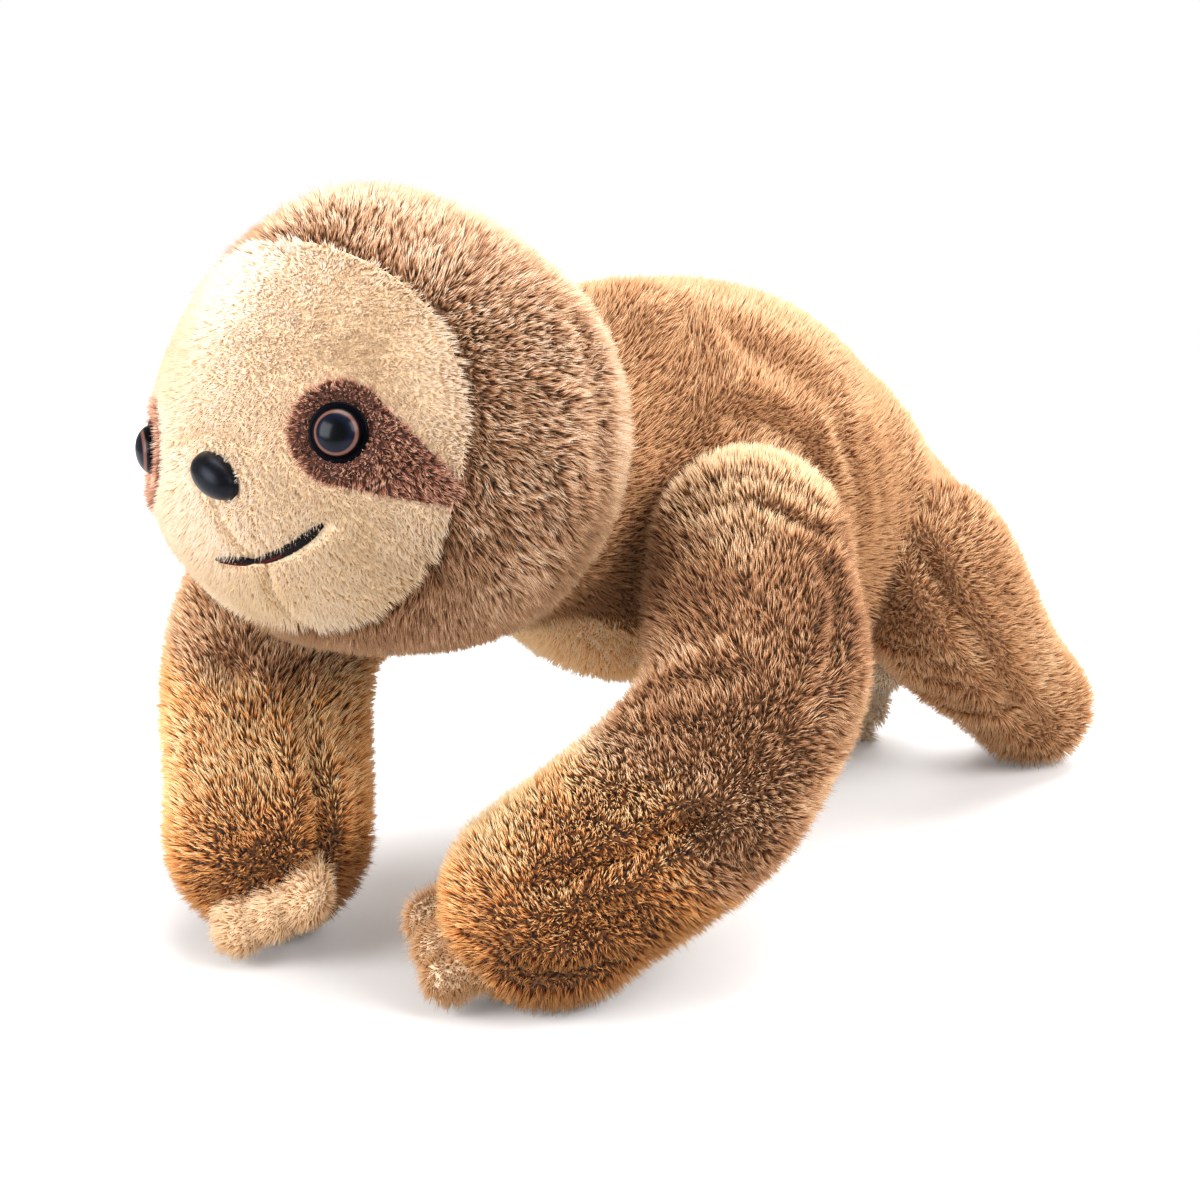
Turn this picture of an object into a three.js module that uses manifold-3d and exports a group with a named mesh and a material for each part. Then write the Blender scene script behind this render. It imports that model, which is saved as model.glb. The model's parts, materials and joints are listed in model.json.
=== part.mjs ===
// A weighted plush sloth: fur fabric covers over fibre stuffing, with a bead pouch in the body.
// Millimetres. The animal faces -Y, its left side is +X and it stands on z = 0.

import * as THREE from 'three';
import { mergeVertices } from 'three/addons/utils/BufferGeometryUtils.js';
import Module from 'manifold-3d';

// Fabric and fits
const FUR_FABRIC = 8; // backing and pile together
const CLEARANCE = 0.3; // between pieces that touch
const SOLE_CUT = 1.2; // depth of the flat pressed into each sole

// Body: evenly spaced stations along the spine, each with its height and radius
const SPINE_START = -44; // along Y
const SPINE_LENGTH = 192;
const CHEST_HEIGHT = 150;
const CHEST_RADIUS = 50;
const WITHERS_HEIGHT = 139;
const WITHERS_RADIUS = 69.3;
const BACK_HEIGHT = 128;
const BACK_RADIUS = 69.8;
const LOIN_HEIGHT = 107;
const LOIN_RADIUS = 59.5;
const RUMP_HEIGHT = 83;
const RUMP_RADIUS = 44;
const BODY_WIDTH_RATIO = 0.88;
const BELLY_LENGTH = 160;
const BELLY_WIDTH = 80;
const BELLY_AHEAD = 30; // of the middle station

// Head, its centre seen from the neck's pivot
const HEAD_RADIUS = 74;
const HEAD_FROM_NECK = new THREE.Vector3(-5, -64, 21);
const HEAD_TURN = 9; // degrees to its right
const HEAD_TILT = 14; // degrees, its left side up
const HEAD_LIFT = 5; // degrees, nose up
const CROWN_DROP = 6; // how much flatter the back of the crown is
const CROWN_SPREAD = 34; // degrees
const CROWN_BACK = 128; // degrees over the top from straight ahead
const TOP_RISE = 4;
const TOP_SPREAD = 26; // degrees
const TOP_BACK = 84; // degrees over the top from straight ahead
const CHIN_LIFT = 4.5; // how much flatter the head is under the chin
const CHIN_SPREAD = 28; // degrees
const CHIN_BACK = 84; // degrees under from straight ahead
const CHEEK_RISE = 5;
const CHEEK_SPREAD = 26; // degrees
const CHEEK_SIDE = 36; // degrees from the middle of the face
const CHEEK_DROP = 14; // degrees
const FACE_HALF_WIDTH = 68; // degrees from straight ahead
const FACE_HALF_HEIGHT = 57; // degrees from straight ahead

// Neck, the pivot of the head, seen from the front end of the spine
const NECK_FROM_SPINE = new THREE.Vector3(0, 9, 5);
const NECK_RADIUS = 30;
const NECK_CLEARANCE = 0.05; // in its socket, at the facets
const HEAD_TURN_RANGE = 8; // degrees each way
const HEAD_NOD_RANGE = 6; // degrees each way

// Eyes, eye patches, nose and mouth
const FACE_MIDDLE = 6; // degrees to its left of straight ahead
const EYE_SIDE = 34.3; // degrees from the middle of the face
const EYE_RISE = 1; // degrees
const EYE_RADIUS = 9;
const EYE_DOME = 5.5;
const EYE_SINK = 4; // below the tips of the pile
const BUTTON_RIM = 1; // of the eyes and the nose
const STEM_RADIUS = 2;
const STEM_LENGTH = 11;
const WASHER_RADIUS = 7;
const WASHER_THICKNESS = 1.4;
const PATCH_RADIUS = 15;
const PATCH_TAIL_OUT = 31.5;
const PATCH_TAIL_DROP = 21.5;
const PATCH_TAIL_WIDTH = 10.5;
const PATCH_SHOULDER = 69; // degrees from the tail to where its edges leave the round
const NOSE_DROP = 6.3; // degrees below straight ahead
const NOSE_TURN = 35; // degrees, its left end down
const NOSE_HALF_WIDTH = 9.2;
const NOSE_HALF_HEIGHT = 6.5;
const NOSE_DOME = 6;
const NOSE_SINK = 2.5;
const MOUTH_MIDDLE = 8; // its lowest point, to the left of straight ahead
const MOUTH_LEFT = 29; // reach to its left of that
const MOUTH_RIGHT = 13.5; // reach to its right
const MOUTH_DROP = 35.2;
const MOUTH_RISE = 10.3; // of its left end
const MOUTH_THREAD_RADIUS = 1.3;
const MOUTH_SINK = 0.4;

// Arms: the left one, mirrored for the right, hung on the second station of the spine
const SHOULDER_INSET = 7; // of the flat seam, inside the widest part of the body
const SHOULDER_OUT = 13; // from the seam to the middle of the shoulder
const SHOULDER_AHEAD = 16;
const SHOULDER_DROP = 9;
const ELBOW_FROM_SHOULDER = new THREE.Vector3(26, -42, -41);
const PAW_SIDE = 54;
const PAW_AHEAD = 49; // of the elbow
const STRIDE = 8; // the left arm stands this far back, the right one this far forward
const SHOULDER_RADIUS = 35;
const ELBOW_RADIUS = 37;
const PAW_RADIUS = 35;
const SHOULDER_SEAM_RADIUS = 46;
const SHOULDER_RANGE = 12; // degrees each way

// Legs: the left one, mirrored for the right, hung on the last station of the spine
const HIP_OUT = 3.3; // from the rump's side to the middle of the hip
const HIP_AHEAD = 22;
const HIP_RISE = 6;
const FOOT_SIDE = 50;
const FOOT_BEHIND = 30; // the middle of the rump
const FOOT_STRIDE = 11; // the left foot stands this far back, the right one this far forward
const HIP_RADIUS = 34;
const FOOT_RADIUS = 24;
const HIP_RANGE = 8; // degrees each way
const HIP_GAP = 0.9; // to the rump that the leg swings round

// Claws, three on each paw: the way they point and the way they follow each other, on the left
const CLAW_COUNT = 3;
const CLAW_RADIUS = 6.8;
const CLAW_REACH = 15; // out of the paw
const CLAW_GAP = 0.6; // between neighbours
const FORE_CLAW_WAY = new THREE.Vector3(-0.67, -0.61, -0.42).normalize();
const FORE_CLAW_ROW = new THREE.Vector3(0.75, -0.47, -0.46).normalize();
const LEFT_HIND_CLAW_TURN = 50; // degrees from straight inwards to straight back
const RIGHT_HIND_CLAW_TURN = 3;
const HIND_CLAW_DIP = 14; // degrees below level
const HIND_CLAW_ROW_TILT = 20; // degrees from upright

// Weight in the body
const POUCH_HALF = new THREE.Vector3(34, 58, 20);
const POUCH_FROM_SPINE = new THREE.Vector3(0, 16, 2); // from the middle station
const POUCH_SLOPE = 18; // degrees, falling to the rear
const POUCH_FABRIC = 1.2;

// Facets
const BODY_SIDES = 22;
const BODY_RINGS = 9;
const LIMB_SIDES = 16;
const LIMB_RINGS = 8;
const CORE_SIDES = 10;
const CORE_RINGS = 5;
const CAP_RINGS = 4;
const CORE_CAP_RINGS = 3;
const SEAM_SIDES = 28;
const FACE_SEAM_SIDES = 32;
const BELLY_SEGMENTS = 14;
const HEAD_SIDES = 24;
const HEAD_INNER_SIDES = 16;
const BALL_SIDES = 18;
const NECK_SIDES = 24;
const CLAW_SIDES = 8;
const POUCH_SIDES = 14;
const BUTTON_SIDES = 16;
const DOME_STEPS = 4;
const PATCH_STEPS = 8;
const SMILE_POINTS = 6;
const SMILE_STEPS = 10;
const SMILE_SEGMENTS = 3;
const FAR = 400; // longer than the animal

const wasm = await Module();
wasm.setup();

const radians = THREE.MathUtils.degToRad;

// Places that follow from the sizes above
const spine = [
  { height: CHEST_HEIGHT, radius: CHEST_RADIUS },
  { height: WITHERS_HEIGHT, radius: WITHERS_RADIUS },
  { height: BACK_HEIGHT, radius: BACK_RADIUS },
  { height: LOIN_HEIGHT, radius: LOIN_RADIUS },
  { height: RUMP_HEIGHT, radius: RUMP_RADIUS },
].map(({ height, radius }, index, stations) => {
  const along = SPINE_START + (SPINE_LENGTH * index) / (stations.length - 1);
  return { centre: new THREE.Vector3(0, along, height), radius };
});
const station = (index) => spine.at(index).centre.clone();
const neckPivot = station(0).add(NECK_FROM_SPINE);
const headCentre = neckPivot.clone().add(HEAD_FROM_NECK);
const shoulderSeam = WITHERS_RADIUS * BODY_WIDTH_RATIO - SHOULDER_INSET; // along X
const shoulder = station(1).add(
  new THREE.Vector3(shoulderSeam + SHOULDER_OUT, -SHOULDER_AHEAD, -SHOULDER_DROP),
);
const elbow = shoulder.clone().add(ELBOW_FROM_SHOULDER);
const hipPivot = station(-1);
const hip = station(-1).add(
  new THREE.Vector3(RUMP_RADIUS * BODY_WIDTH_RATIO + HIP_OUT, -HIP_AHEAD, HIP_RISE),
);

/** A closed geometry as a solid that can be joined and cut. */
function solid(geometry) {
  const bare = geometry.clone();
  bare.deleteAttribute('normal');
  bare.deleteAttribute('uv');
  const merged = mergeVertices(bare, 1e-4);
  return new wasm.Manifold(
    new wasm.Mesh({
      numProp: 3,
      vertProperties: new Float32Array(merged.attributes.position.array),
      triVerts: new Uint32Array(merged.index.array),
    }),
  );
}

/** The geometry of a solid. */
function geometryOf(body) {
  const mesh = body.getMesh();
  const geometry = new THREE.BufferGeometry();
  geometry.setAttribute('position', new THREE.BufferAttribute(mesh.vertProperties, 3));
  geometry.setIndex(new THREE.BufferAttribute(mesh.triVerts, 1));
  return geometry;
}

/** Joins rings of points, and a point at each end, into one closed surface. */
function skin(first, rings, last) {
  const sides = rings[0].length;
  const points = [first, ...rings.flat(), last];
  const faces = [];
  for (let side = 0; side < sides; side += 1) {
    const next = (side + 1) % sides;
    faces.push(0, 1 + next, 1 + side);
    for (let ring = 0; ring < rings.length - 1; ring += 1) {
      const near = 1 + ring * sides;
      const far = near + sides;
      faces.push(near + side, near + next, far + next, near + side, far + next, far + side);
    }
    const end = 1 + (rings.length - 1) * sides;
    faces.push(points.length - 1, end + side, end + next);
  }
  const geometry = new THREE.BufferGeometry().setFromPoints(points);
  geometry.setIndex(faces);
  return geometry;
}

/** A stuffed bag: round sections along a smooth line, with a half ball at each end. */
function stuffedForm({ centres, radii, ratio = 1, across }, grow, { sides, midRings, capRings }) {
  const line = new THREE.CatmullRomCurve3(centres);
  const radiusAt = (share) => {
    const place = share * (radii.length - 1);
    const index = Math.min(Math.floor(place), radii.length - 2);
    const blend = THREE.MathUtils.smoothstep(place - index, 0, 1);
    return THREE.MathUtils.lerp(radii[index], radii[index + 1], blend);
  };
  const ring = (share, along, radius) => {
    const tangent = line.getTangent(share);
    const wide = new THREE.Vector3().crossVectors(tangent, across).normalize();
    const tall = new THREE.Vector3().crossVectors(tangent, wide);
    const centre = line.getPoint(share).addScaledVector(tangent, along);
    return Array.from({ length: sides }, (_, side) => {
      const angle = (2 * Math.PI * side) / sides;
      const point = centre.clone().addScaledVector(wide, ratio * radius * Math.cos(angle));
      return point.addScaledVector(tall, radius * Math.sin(angle));
    });
  };
  const start = radii[0] + grow;
  const end = radii.at(-1) + grow;
  const rings = [];
  for (let step = 1; step < capRings; step += 1) {
    const turn = (Math.PI / 2) * (step / capRings);
    rings.push(ring(0, -start * Math.cos(turn), start * Math.sin(turn)));
  }
  for (let step = 0; step <= midRings; step += 1) {
    rings.push(ring(step / midRings, 0, radiusAt(step / midRings) + grow));
  }
  for (let step = capRings - 1; step > 0; step -= 1) {
    const turn = (Math.PI / 2) * (step / capRings);
    rings.push(ring(1, end * Math.cos(turn), end * Math.sin(turn)));
  }
  const first = line.getPoint(0).addScaledVector(line.getTangent(0), -start);
  const last = line.getPoint(1).addScaledVector(line.getTangent(1), end);
  return skin(first, rings, last);
}

/** Round room about a point, as a solid: its facets stay outside the radius. */
function roundRoom(centre, radius, sides) {
  const corner = radius / Math.cos(Math.PI / sides) ** 2;
  const geometry = new THREE.SphereGeometry(corner, sides, sides / 2);
  return solid(geometry.translate(centre.x, centre.y, centre.z));
}

/** A round bar along X from x = low to x = high, as a solid. */
function barAlongX(centre, radius, low, high) {
  const geometry = new THREE.CylinderGeometry(radius, radius, high - low, SEAM_SIDES);
  geometry.rotateZ(Math.PI / 2);
  return solid(geometry.translate((low + high) / 2, centre.y, centre.z));
}

const belowFloor = solid(new THREE.BoxGeometry(2 * FAR, 2 * FAR, FAR).translate(0, 0, -FAR / 2));

const group = new THREE.Group();
const headGroup = new THREE.Group();
headGroup.position.copy(headCentre);
headGroup.rotation.set(-radians(HEAD_LIFT), -radians(HEAD_TILT), -radians(HEAD_TURN), 'ZXY');
headGroup.updateMatrix();
group.add(headGroup);

/** Adds a named piece with its finish. */
function addPiece(parent, name, geometry, finish) {
  const mesh = new THREE.Mesh(geometry, new THREE.MeshStandardMaterial(finish));
  mesh.name = name;
  parent.add(mesh);
}

const TAN_FUR = { color: 0xb98d5f, roughness: 0.95 };
const BELLY_FUR = { color: 0xd2ac7c, roughness: 0.95 };
const HOOD_FUR = { color: 0x977553, roughness: 0.95 };
const CREAM_FUR = { color: 0xe8d2a8, roughness: 0.95 };
const PATCH_FUR = { color: 0x7d5444, roughness: 0.95 };
const CLAW_PLUSH = { color: 0xd8c19c, roughness: 0.95 };
const FIBRE = { color: 0xf3f1ea, roughness: 1 };
const COTTON = { color: 0xd9d2c4, roughness: 0.9 };
const GLASS_BEADS = { color: 0xcfd6d8, roughness: 0.3 };
const EYE_PLASTIC = { color: 0x14131a, roughness: 0.08 };
const NOSE_PLASTIC = { color: 0x101014, roughness: 0.25 };
const WASHER_PLASTIC = { color: 0xe9e9e6, roughness: 0.5 };
const MOUTH_THREAD = { color: 0x2a1113, roughness: 0.7 };

// How far the head's back shifts when it turns and nods to its limits
const turnSway = Math.sin(radians(HEAD_TURN_RANGE));
const nodSway = Math.sin(radians(HEAD_NOD_RANGE));
const headSway = HEAD_FROM_NECK.length() * Math.hypot(turnSway, nodSway);
const headRoom = HEAD_RADIUS + headSway + CLEARANCE;
const neckSocket = roundRoom(neckPivot, NECK_RADIUS + NECK_CLEARANCE, NECK_SIDES);

const BODY_FACETS = { sides: BODY_SIDES, midRings: BODY_RINGS, capRings: CAP_RINGS };
const BODY_CORE_FACETS = { sides: CORE_SIDES, midRings: CORE_RINGS, capRings: CAP_RINGS };
const LIMB_FACETS = { sides: LIMB_SIDES, midRings: LIMB_RINGS, capRings: CAP_RINGS };
const CORE_FACETS = { sides: CORE_SIDES, midRings: CORE_RINGS, capRings: CORE_CAP_RINGS };
const CLAW_FACETS = { sides: CLAW_SIDES, midRings: 1, capRings: CORE_CAP_RINGS };

/** The body with its fabric outside at the given growth. */
function bodyForm(grow, facets) {
  const form = {
    centres: spine.map(({ centre }) => centre),
    radii: spine.map(({ radius }) => radius),
    ratio: BODY_WIDTH_RATIO,
    across: new THREE.Vector3(0, 0, 1),
  };
  return solid(stuffedForm(form, grow, facets));
}

/** Cuts the body where the head, the neck and the arms meet it. */
function cutByNeighbours(body) {
  const seam = SHOULDER_SEAM_RADIUS + CLEARANCE;
  return body
    .subtract(roundRoom(headCentre, headRoom, HEAD_SIDES))
    .subtract(neckSocket)
    .subtract(barAlongX(shoulder, seam, shoulderSeam, FAR))
    .subtract(barAlongX(shoulder, seam, -FAR, -shoulderSeam));
}

/** The block under the belly whose outline, a lens from above, is the belly panel's. */
function bellyBlock(grow) {
  const outline = new THREE.Shape();
  outline.absellipse(0, 0, BELLY_WIDTH / 2 + grow, BELLY_LENGTH / 2 + grow, 0, 2 * Math.PI);
  const settings = { depth: FAR, bevelEnabled: false, curveSegments: BELLY_SEGMENTS };
  const geometry = new THREE.ExtrudeGeometry(outline, settings);
  const rear = station(-1).sub(station(1));
  const slope = Math.atan2(rear.z, rear.y);
  const turned = geometry.translate(0, -BELLY_AHEAD, -FAR).rotateX(slope);
  return solid(turned.translate(...station(2)));
}

function addBody() {
  const inside = bodyForm(-FUR_FABRIC, BODY_CORE_FACETS);
  const shell = cutByNeighbours(bodyForm(0, BODY_FACETS).subtract(inside));
  const cover = shell.subtract(bellyBlock(CLEARANCE / 2));
  const belly = shell.intersect(bellyBlock(-CLEARANCE / 2));
  addPiece(group, 'body_cover', geometryOf(cover), TAN_FUR);
  addPiece(group, 'belly_panel', geometryOf(belly), BELLY_FUR);

  const pouchCentre = station(2).add(POUCH_FROM_SPINE);
  const place = new THREE.Matrix4().makeRotationX(-radians(POUCH_SLOPE)).setPosition(pouchCentre);
  const pillow = (grow) => {
    const half = POUCH_HALF.clone().addScalar(grow);
    const geometry = new THREE.SphereGeometry(1, POUCH_SIDES, POUCH_SIDES / 2);
    return solid(geometry.scale(half.x, half.y, half.z).applyMatrix4(place));
  };
  const aboveMiddle = (lift) => {
    const block = new THREE.BoxGeometry(2 * FAR, 2 * FAR, FAR).translate(0, 0, FAR / 2 + lift);
    return solid(block.applyMatrix4(place));
  };
  const filling = cutByNeighbours(bodyForm(-FUR_FABRIC - CLEARANCE, BODY_CORE_FACETS));
  const core = filling.subtract(pillow(CLEARANCE));
  const pouch = pillow(0).subtract(pillow(-POUCH_FABRIC));
  const upper = aboveMiddle(CLEARANCE / 2);
  const notLower = aboveMiddle(-CLEARANCE / 2);
  addPiece(group, 'body_stuffing_upper', geometryOf(core.intersect(upper)), FIBRE);
  addPiece(group, 'body_stuffing_lower', geometryOf(core.subtract(notLower)), FIBRE);
  addPiece(group, 'weight_pouch_top', geometryOf(pouch.intersect(upper)), COTTON);
  addPiece(group, 'weight_pouch_bottom', geometryOf(pouch.subtract(notLower)), COTTON);
  addPiece(group, 'weight_beads', geometryOf(pillow(-POUCH_FABRIC - CLEARANCE)), GLASS_BEADS);
  const neck = new THREE.SphereGeometry(NECK_RADIUS, NECK_SIDES, NECK_SIDES / 2);
  addPiece(group, 'neck_tube', neck.translate(...neckPivot), FIBRE);
}

const headSwellings = [
  { middle: faceDirection(0, CROWN_BACK), rise: -CROWN_DROP, spread: CROWN_SPREAD },
  { middle: faceDirection(0, TOP_BACK), rise: TOP_RISE, spread: TOP_SPREAD },
  { middle: faceDirection(0, -CHIN_BACK), rise: -CHIN_LIFT, spread: CHIN_SPREAD },
  ...[CHEEK_SIDE, -CHEEK_SIDE].map((side) => ({
    middle: faceDirection(FACE_MIDDLE + side, -CHEEK_DROP),
    rise: CHEEK_RISE,
    spread: CHEEK_SPREAD,
  })),
];

/** The head's radius in a direction: a ball with a soft swelling or dent about each of some directions. */
function headRadius(direction) {
  return headSwellings.reduce((radius, { middle, rise, spread }) => {
    const away = THREE.MathUtils.radToDeg(direction.angleTo(middle));
    return radius + rise * Math.exp(-((away / spread) ** 2));
  }, HEAD_RADIUS);
}

/** A point on the tips of the head's fur, from its offset left and up as seen from in front. */
function onFace(left, up) {
  const ahead = Math.sqrt(HEAD_RADIUS ** 2 - left ** 2 - up ** 2);
  const direction = new THREE.Vector3(left, -ahead, up).normalize();
  return direction.multiplyScalar(headRadius(direction));
}

/** The direction that is this far round to the left and up from straight ahead, in degrees. */
function faceDirection(left, up) {
  const flat = Math.cos(radians(up));
  return new THREE.Vector3(
    flat * Math.sin(radians(left)),
    -flat * Math.cos(radians(left)),
    Math.sin(radians(up)),
  );
}

/** The head at the given growth, in its own frame. */
function headForm(grow, sides) {
  const geometry = new THREE.SphereGeometry(1, sides, sides / 2);
  geometry.rotateX(Math.PI / 2);
  const places = geometry.attributes.position;
  for (let index = 0; index < places.count; index += 1) {
    const direction = new THREE.Vector3().fromBufferAttribute(places, index).normalize();
    const point = direction.clone().multiplyScalar(headRadius(direction) + grow);
    places.setXYZ(index, point.x, point.y, point.z);
  }
  return solid(geometry);
}

/** The oval cone from the head's centre whose edge is the seam between face and hood. */
function faceCone(grow) {
  const reach = 2 * HEAD_RADIUS;
  const turn = grow / HEAD_RADIUS;
  const geometry = new THREE.ConeGeometry(1, 1, FACE_SEAM_SIDES).translate(0, -0.5, 0);
  geometry.scale(
    reach * Math.tan(radians(FACE_HALF_WIDTH) + turn),
    reach,
    reach * Math.tan(radians(FACE_HALF_HEIGHT) + turn),
  );
  return solid(geometry);
}

/** The turn that takes +Y, the way a lathe points, to a direction, with Z kept upright. */
function facing(direction, place) {
  const side = new THREE.Vector3().crossVectors(direction, new THREE.Vector3(0, 0, 1)).normalize();
  const up = new THREE.Vector3().crossVectors(side, direction);
  return new THREE.Matrix4().makeBasis(side, direction, up).setPosition(place);
}

/** The teardrop outline of an eye patch about the eye, tail out and down; sign is +1 on the left. */
function patchOutline(sign, grow) {
  const radius = PATCH_RADIUS + grow;
  const tail = new THREE.Vector2(PATCH_TAIL_OUT, -PATCH_TAIL_DROP);
  const square = new THREE.Vector2(-tail.y, tail.x).setLength(PATCH_TAIL_WIDTH / 2 + grow);
  const slope = tail.angle();
  const outline = new THREE.Shape();
  const shoulderTurn = radians(PATCH_SHOULDER);
  outline.absarc(0, 0, radius, slope + shoulderTurn, slope - shoulderTurn + 2 * Math.PI, false);
  outline.lineTo(tail.x - square.x, tail.y - square.y);
  outline.lineTo(tail.x + square.x, tail.y + square.y);
  outline.closePath();
  const points = outline.getPoints(PATCH_STEPS);
  return new THREE.Shape(points.map(({ x, y }) => new THREE.Vector2(-sign * x, -y)));
}

/** A button with its stem: a dome on a disc, turned about Y and stretched to an oval. */
function button(halfWidth, halfHeight, dome) {
  const profile = [new THREE.Vector2(0, -STEM_LENGTH), new THREE.Vector2(STEM_RADIUS, -STEM_LENGTH)];
  profile.push(new THREE.Vector2(STEM_RADIUS, 0), new THREE.Vector2(halfWidth, 0));
  for (let step = 0; step <= DOME_STEPS; step += 1) {
    const turn = (Math.PI / 2) * (step / DOME_STEPS);
    profile.push(new THREE.Vector2(halfWidth * Math.cos(turn), BUTTON_RIM + dome * Math.sin(turn)));
  }
  profile.at(-1).x = 0;
  const geometry = new THREE.LatheGeometry(profile, BUTTON_SIDES);
  const places = geometry.attributes.position;
  for (let index = 0; index < places.count; index += 1) {
    const offStem = Math.hypot(places.getX(index), places.getZ(index)) > STEM_RADIUS + CLEARANCE;
    if (offStem || places.getY(index) > 0) {
      places.setZ(index, (places.getZ(index) * halfHeight) / halfWidth);
    }
  }
  return geometry;
}

/** A flat ring that grips a stem, turned about Y, from y = 0 down. */
function washer() {
  const inner = STEM_RADIUS + CLEARANCE;
  const corners = [
    [inner, -WASHER_THICKNESS],
    [WASHER_RADIUS, -WASHER_THICKNESS],
    [WASHER_RADIUS, 0],
    [inner, 0],
    [inner, -WASHER_THICKNESS],
  ];
  return new THREE.LatheGeometry(corners.map(([x, y]) => new THREE.Vector2(x, y)), BUTTON_SIDES);
}

/** A round plug about Y between two depths, stretched to an oval. */
function plug(halfWidth, halfHeight, low, high) {
  const geometry = new THREE.CylinderGeometry(halfWidth, halfWidth, high - low, BUTTON_SIDES);
  return geometry.translate(0, (low + high) / 2, 0).scale(1, 1, halfHeight / halfWidth);
}

/** The mouth's thread, a tube along the smile. */
function smile(radius) {
  const places = Array.from({ length: SMILE_POINTS }, (_, index) => {
    const left = THREE.MathUtils.lerp(-MOUTH_RIGHT, MOUTH_LEFT, index / (SMILE_POINTS - 1));
    const rise = MOUTH_RISE * (left / MOUTH_LEFT) ** 2;
    const point = onFace(MOUTH_MIDDLE + left, rise - MOUTH_DROP);
    return point.setLength(point.length() - MOUTH_SINK);
  });
  const section = new THREE.Shape();
  section.absarc(0, 0, radius, 0, 2 * Math.PI);
  return new THREE.ExtrudeGeometry(section, {
    steps: SMILE_STEPS,
    curveSegments: SMILE_SEGMENTS,
    extrudePath: new THREE.CatmullRomCurve3(places),
  });
}

function addHead() {
  const inHead = new THREE.Matrix4().copy(headGroup.matrix).invert();
  const socket = solid(geometryOf(neckSocket).applyMatrix4(inHead));
  const inside = headForm(-FUR_FABRIC, HEAD_INNER_SIDES);
  const shell = headForm(0, HEAD_SIDES).subtract(inside).subtract(socket);
  const hood = shell.subtract(faceCone(CLEARANCE / 2));
  let face = shell.intersect(faceCone(-CLEARANCE / 2));
  let stuffing = headForm(-FUR_FABRIC - CLEARANCE, HEAD_INNER_SIDES).subtract(socket);

  // Fixes a button through the fabric by its stem and a washer, and returns the room that they take
  const fix = (name, direction, { sink, turn, halfWidth, halfHeight, dome, finish }) => {
    const place = facing(direction, direction.clone().multiplyScalar(headRadius(direction) - sink));
    place.multiply(new THREE.Matrix4().makeRotationY(radians(turn)));
    const seat = plug(halfWidth + CLEARANCE, halfHeight + CLEARANCE, -CLEARANCE, FUR_FABRIC);
    const hole = plug(STEM_RADIUS + CLEARANCE, STEM_RADIUS + CLEARANCE, -STEM_LENGTH, 0);
    const depth = FUR_FABRIC - sink;
    const roomRadius = WASHER_RADIUS + CLEARANCE;
    const recess = plug(roomRadius, roomRadius, -STEM_LENGTH - CLEARANCE, CLEARANCE - depth);
    const room = solid(recess.applyMatrix4(place));
    const grip = washer().translate(0, -depth, 0);
    stuffing = stuffing.subtract(room);
    addPiece(headGroup, name, button(halfWidth, halfHeight, dome).applyMatrix4(place), finish);
    addPiece(headGroup, `${name}_washer`, grip.applyMatrix4(place), WASHER_PLASTIC);
    return solid(seat.applyMatrix4(place)).add(solid(hole.applyMatrix4(place))).add(room);
  };
  const eye = {
    sink: EYE_SINK,
    turn: 0,
    halfWidth: EYE_RADIUS,
    halfHeight: EYE_RADIUS,
    dome: EYE_DOME,
    finish: EYE_PLASTIC,
  };
  const nose = {
    sink: NOSE_SINK,
    turn: -NOSE_TURN,
    halfWidth: NOSE_HALF_WIDTH,
    halfHeight: NOSE_HALF_HEIGHT,
    dome: NOSE_DOME,
    finish: NOSE_PLASTIC,
  };

  for (const [name, sign] of [['left', 1], ['right', -1]]) {
    const direction = faceDirection(FACE_MIDDLE + sign * EYE_SIDE, EYE_RISE);
    const place = facing(direction, direction.clone().multiplyScalar(HEAD_RADIUS / 2));
    const block = (grow) => {
      const settings = { depth: HEAD_RADIUS, bevelEnabled: false };
      const geometry = new THREE.ExtrudeGeometry(patchOutline(sign, grow), settings);
      return solid(geometry.rotateX(-Math.PI / 2).applyMatrix4(place));
    };
    const patch = face.intersect(block(-CLEARANCE / 2)).subtract(fix(`${name}_eye`, direction, eye));
    face = face.subtract(block(CLEARANCE / 2));
    addPiece(headGroup, `${name}_eye_patch`, geometryOf(patch), PATCH_FUR);
  }
  face = face.subtract(fix('nose', faceDirection(FACE_MIDDLE, -NOSE_DROP), nose));
  face = face.subtract(solid(smile(MOUTH_THREAD_RADIUS + CLEARANCE)));
  addPiece(headGroup, 'mouth_stitching', smile(MOUTH_THREAD_RADIUS), MOUTH_THREAD);
  addPiece(headGroup, 'face_panel', geometryOf(face), CREAM_FUR);
  addPiece(headGroup, 'head_hood', geometryOf(hood), HOOD_FUR);
  addPiece(headGroup, 'head_stuffing', geometryOf(stuffing), FIBRE);
}

/** Three claws side by side on a paw, each cut where it meets the paw. */
function addClaws(limb, { pawCentre, pawRadius, way, row, form }) {
  const trim = solid(stuffedForm(form, CLEARANCE, LIMB_FACETS)).add(belowFloor);
  for (let index = 0; index < CLAW_COUNT; index += 1) {
    const pitch = 2 * CLAW_RADIUS + CLAW_GAP;
    const shift = (index - (CLAW_COUNT - 1) / 2) * pitch;
    const start = pawCentre.clone().addScaledVector(row, shift).addScaledVector(way, pawRadius / 2);
    const tip = start.clone().addScaledVector(way, pawRadius / 2 + CLAW_REACH - CLAW_RADIUS);
    const finger = { centres: [start, tip], radii: [CLAW_RADIUS, CLAW_RADIUS], across: row };
    const claw = solid(stuffedForm(finger, 0, CLAW_FACETS)).subtract(trim);
    addPiece(group, `${limb}_claw_${index + 1}`, geometryOf(claw), CLAW_PLUSH);
  }
}

const LIMB_SIDE_AXIS = new THREE.Vector3(1, 0, 0);

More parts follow.
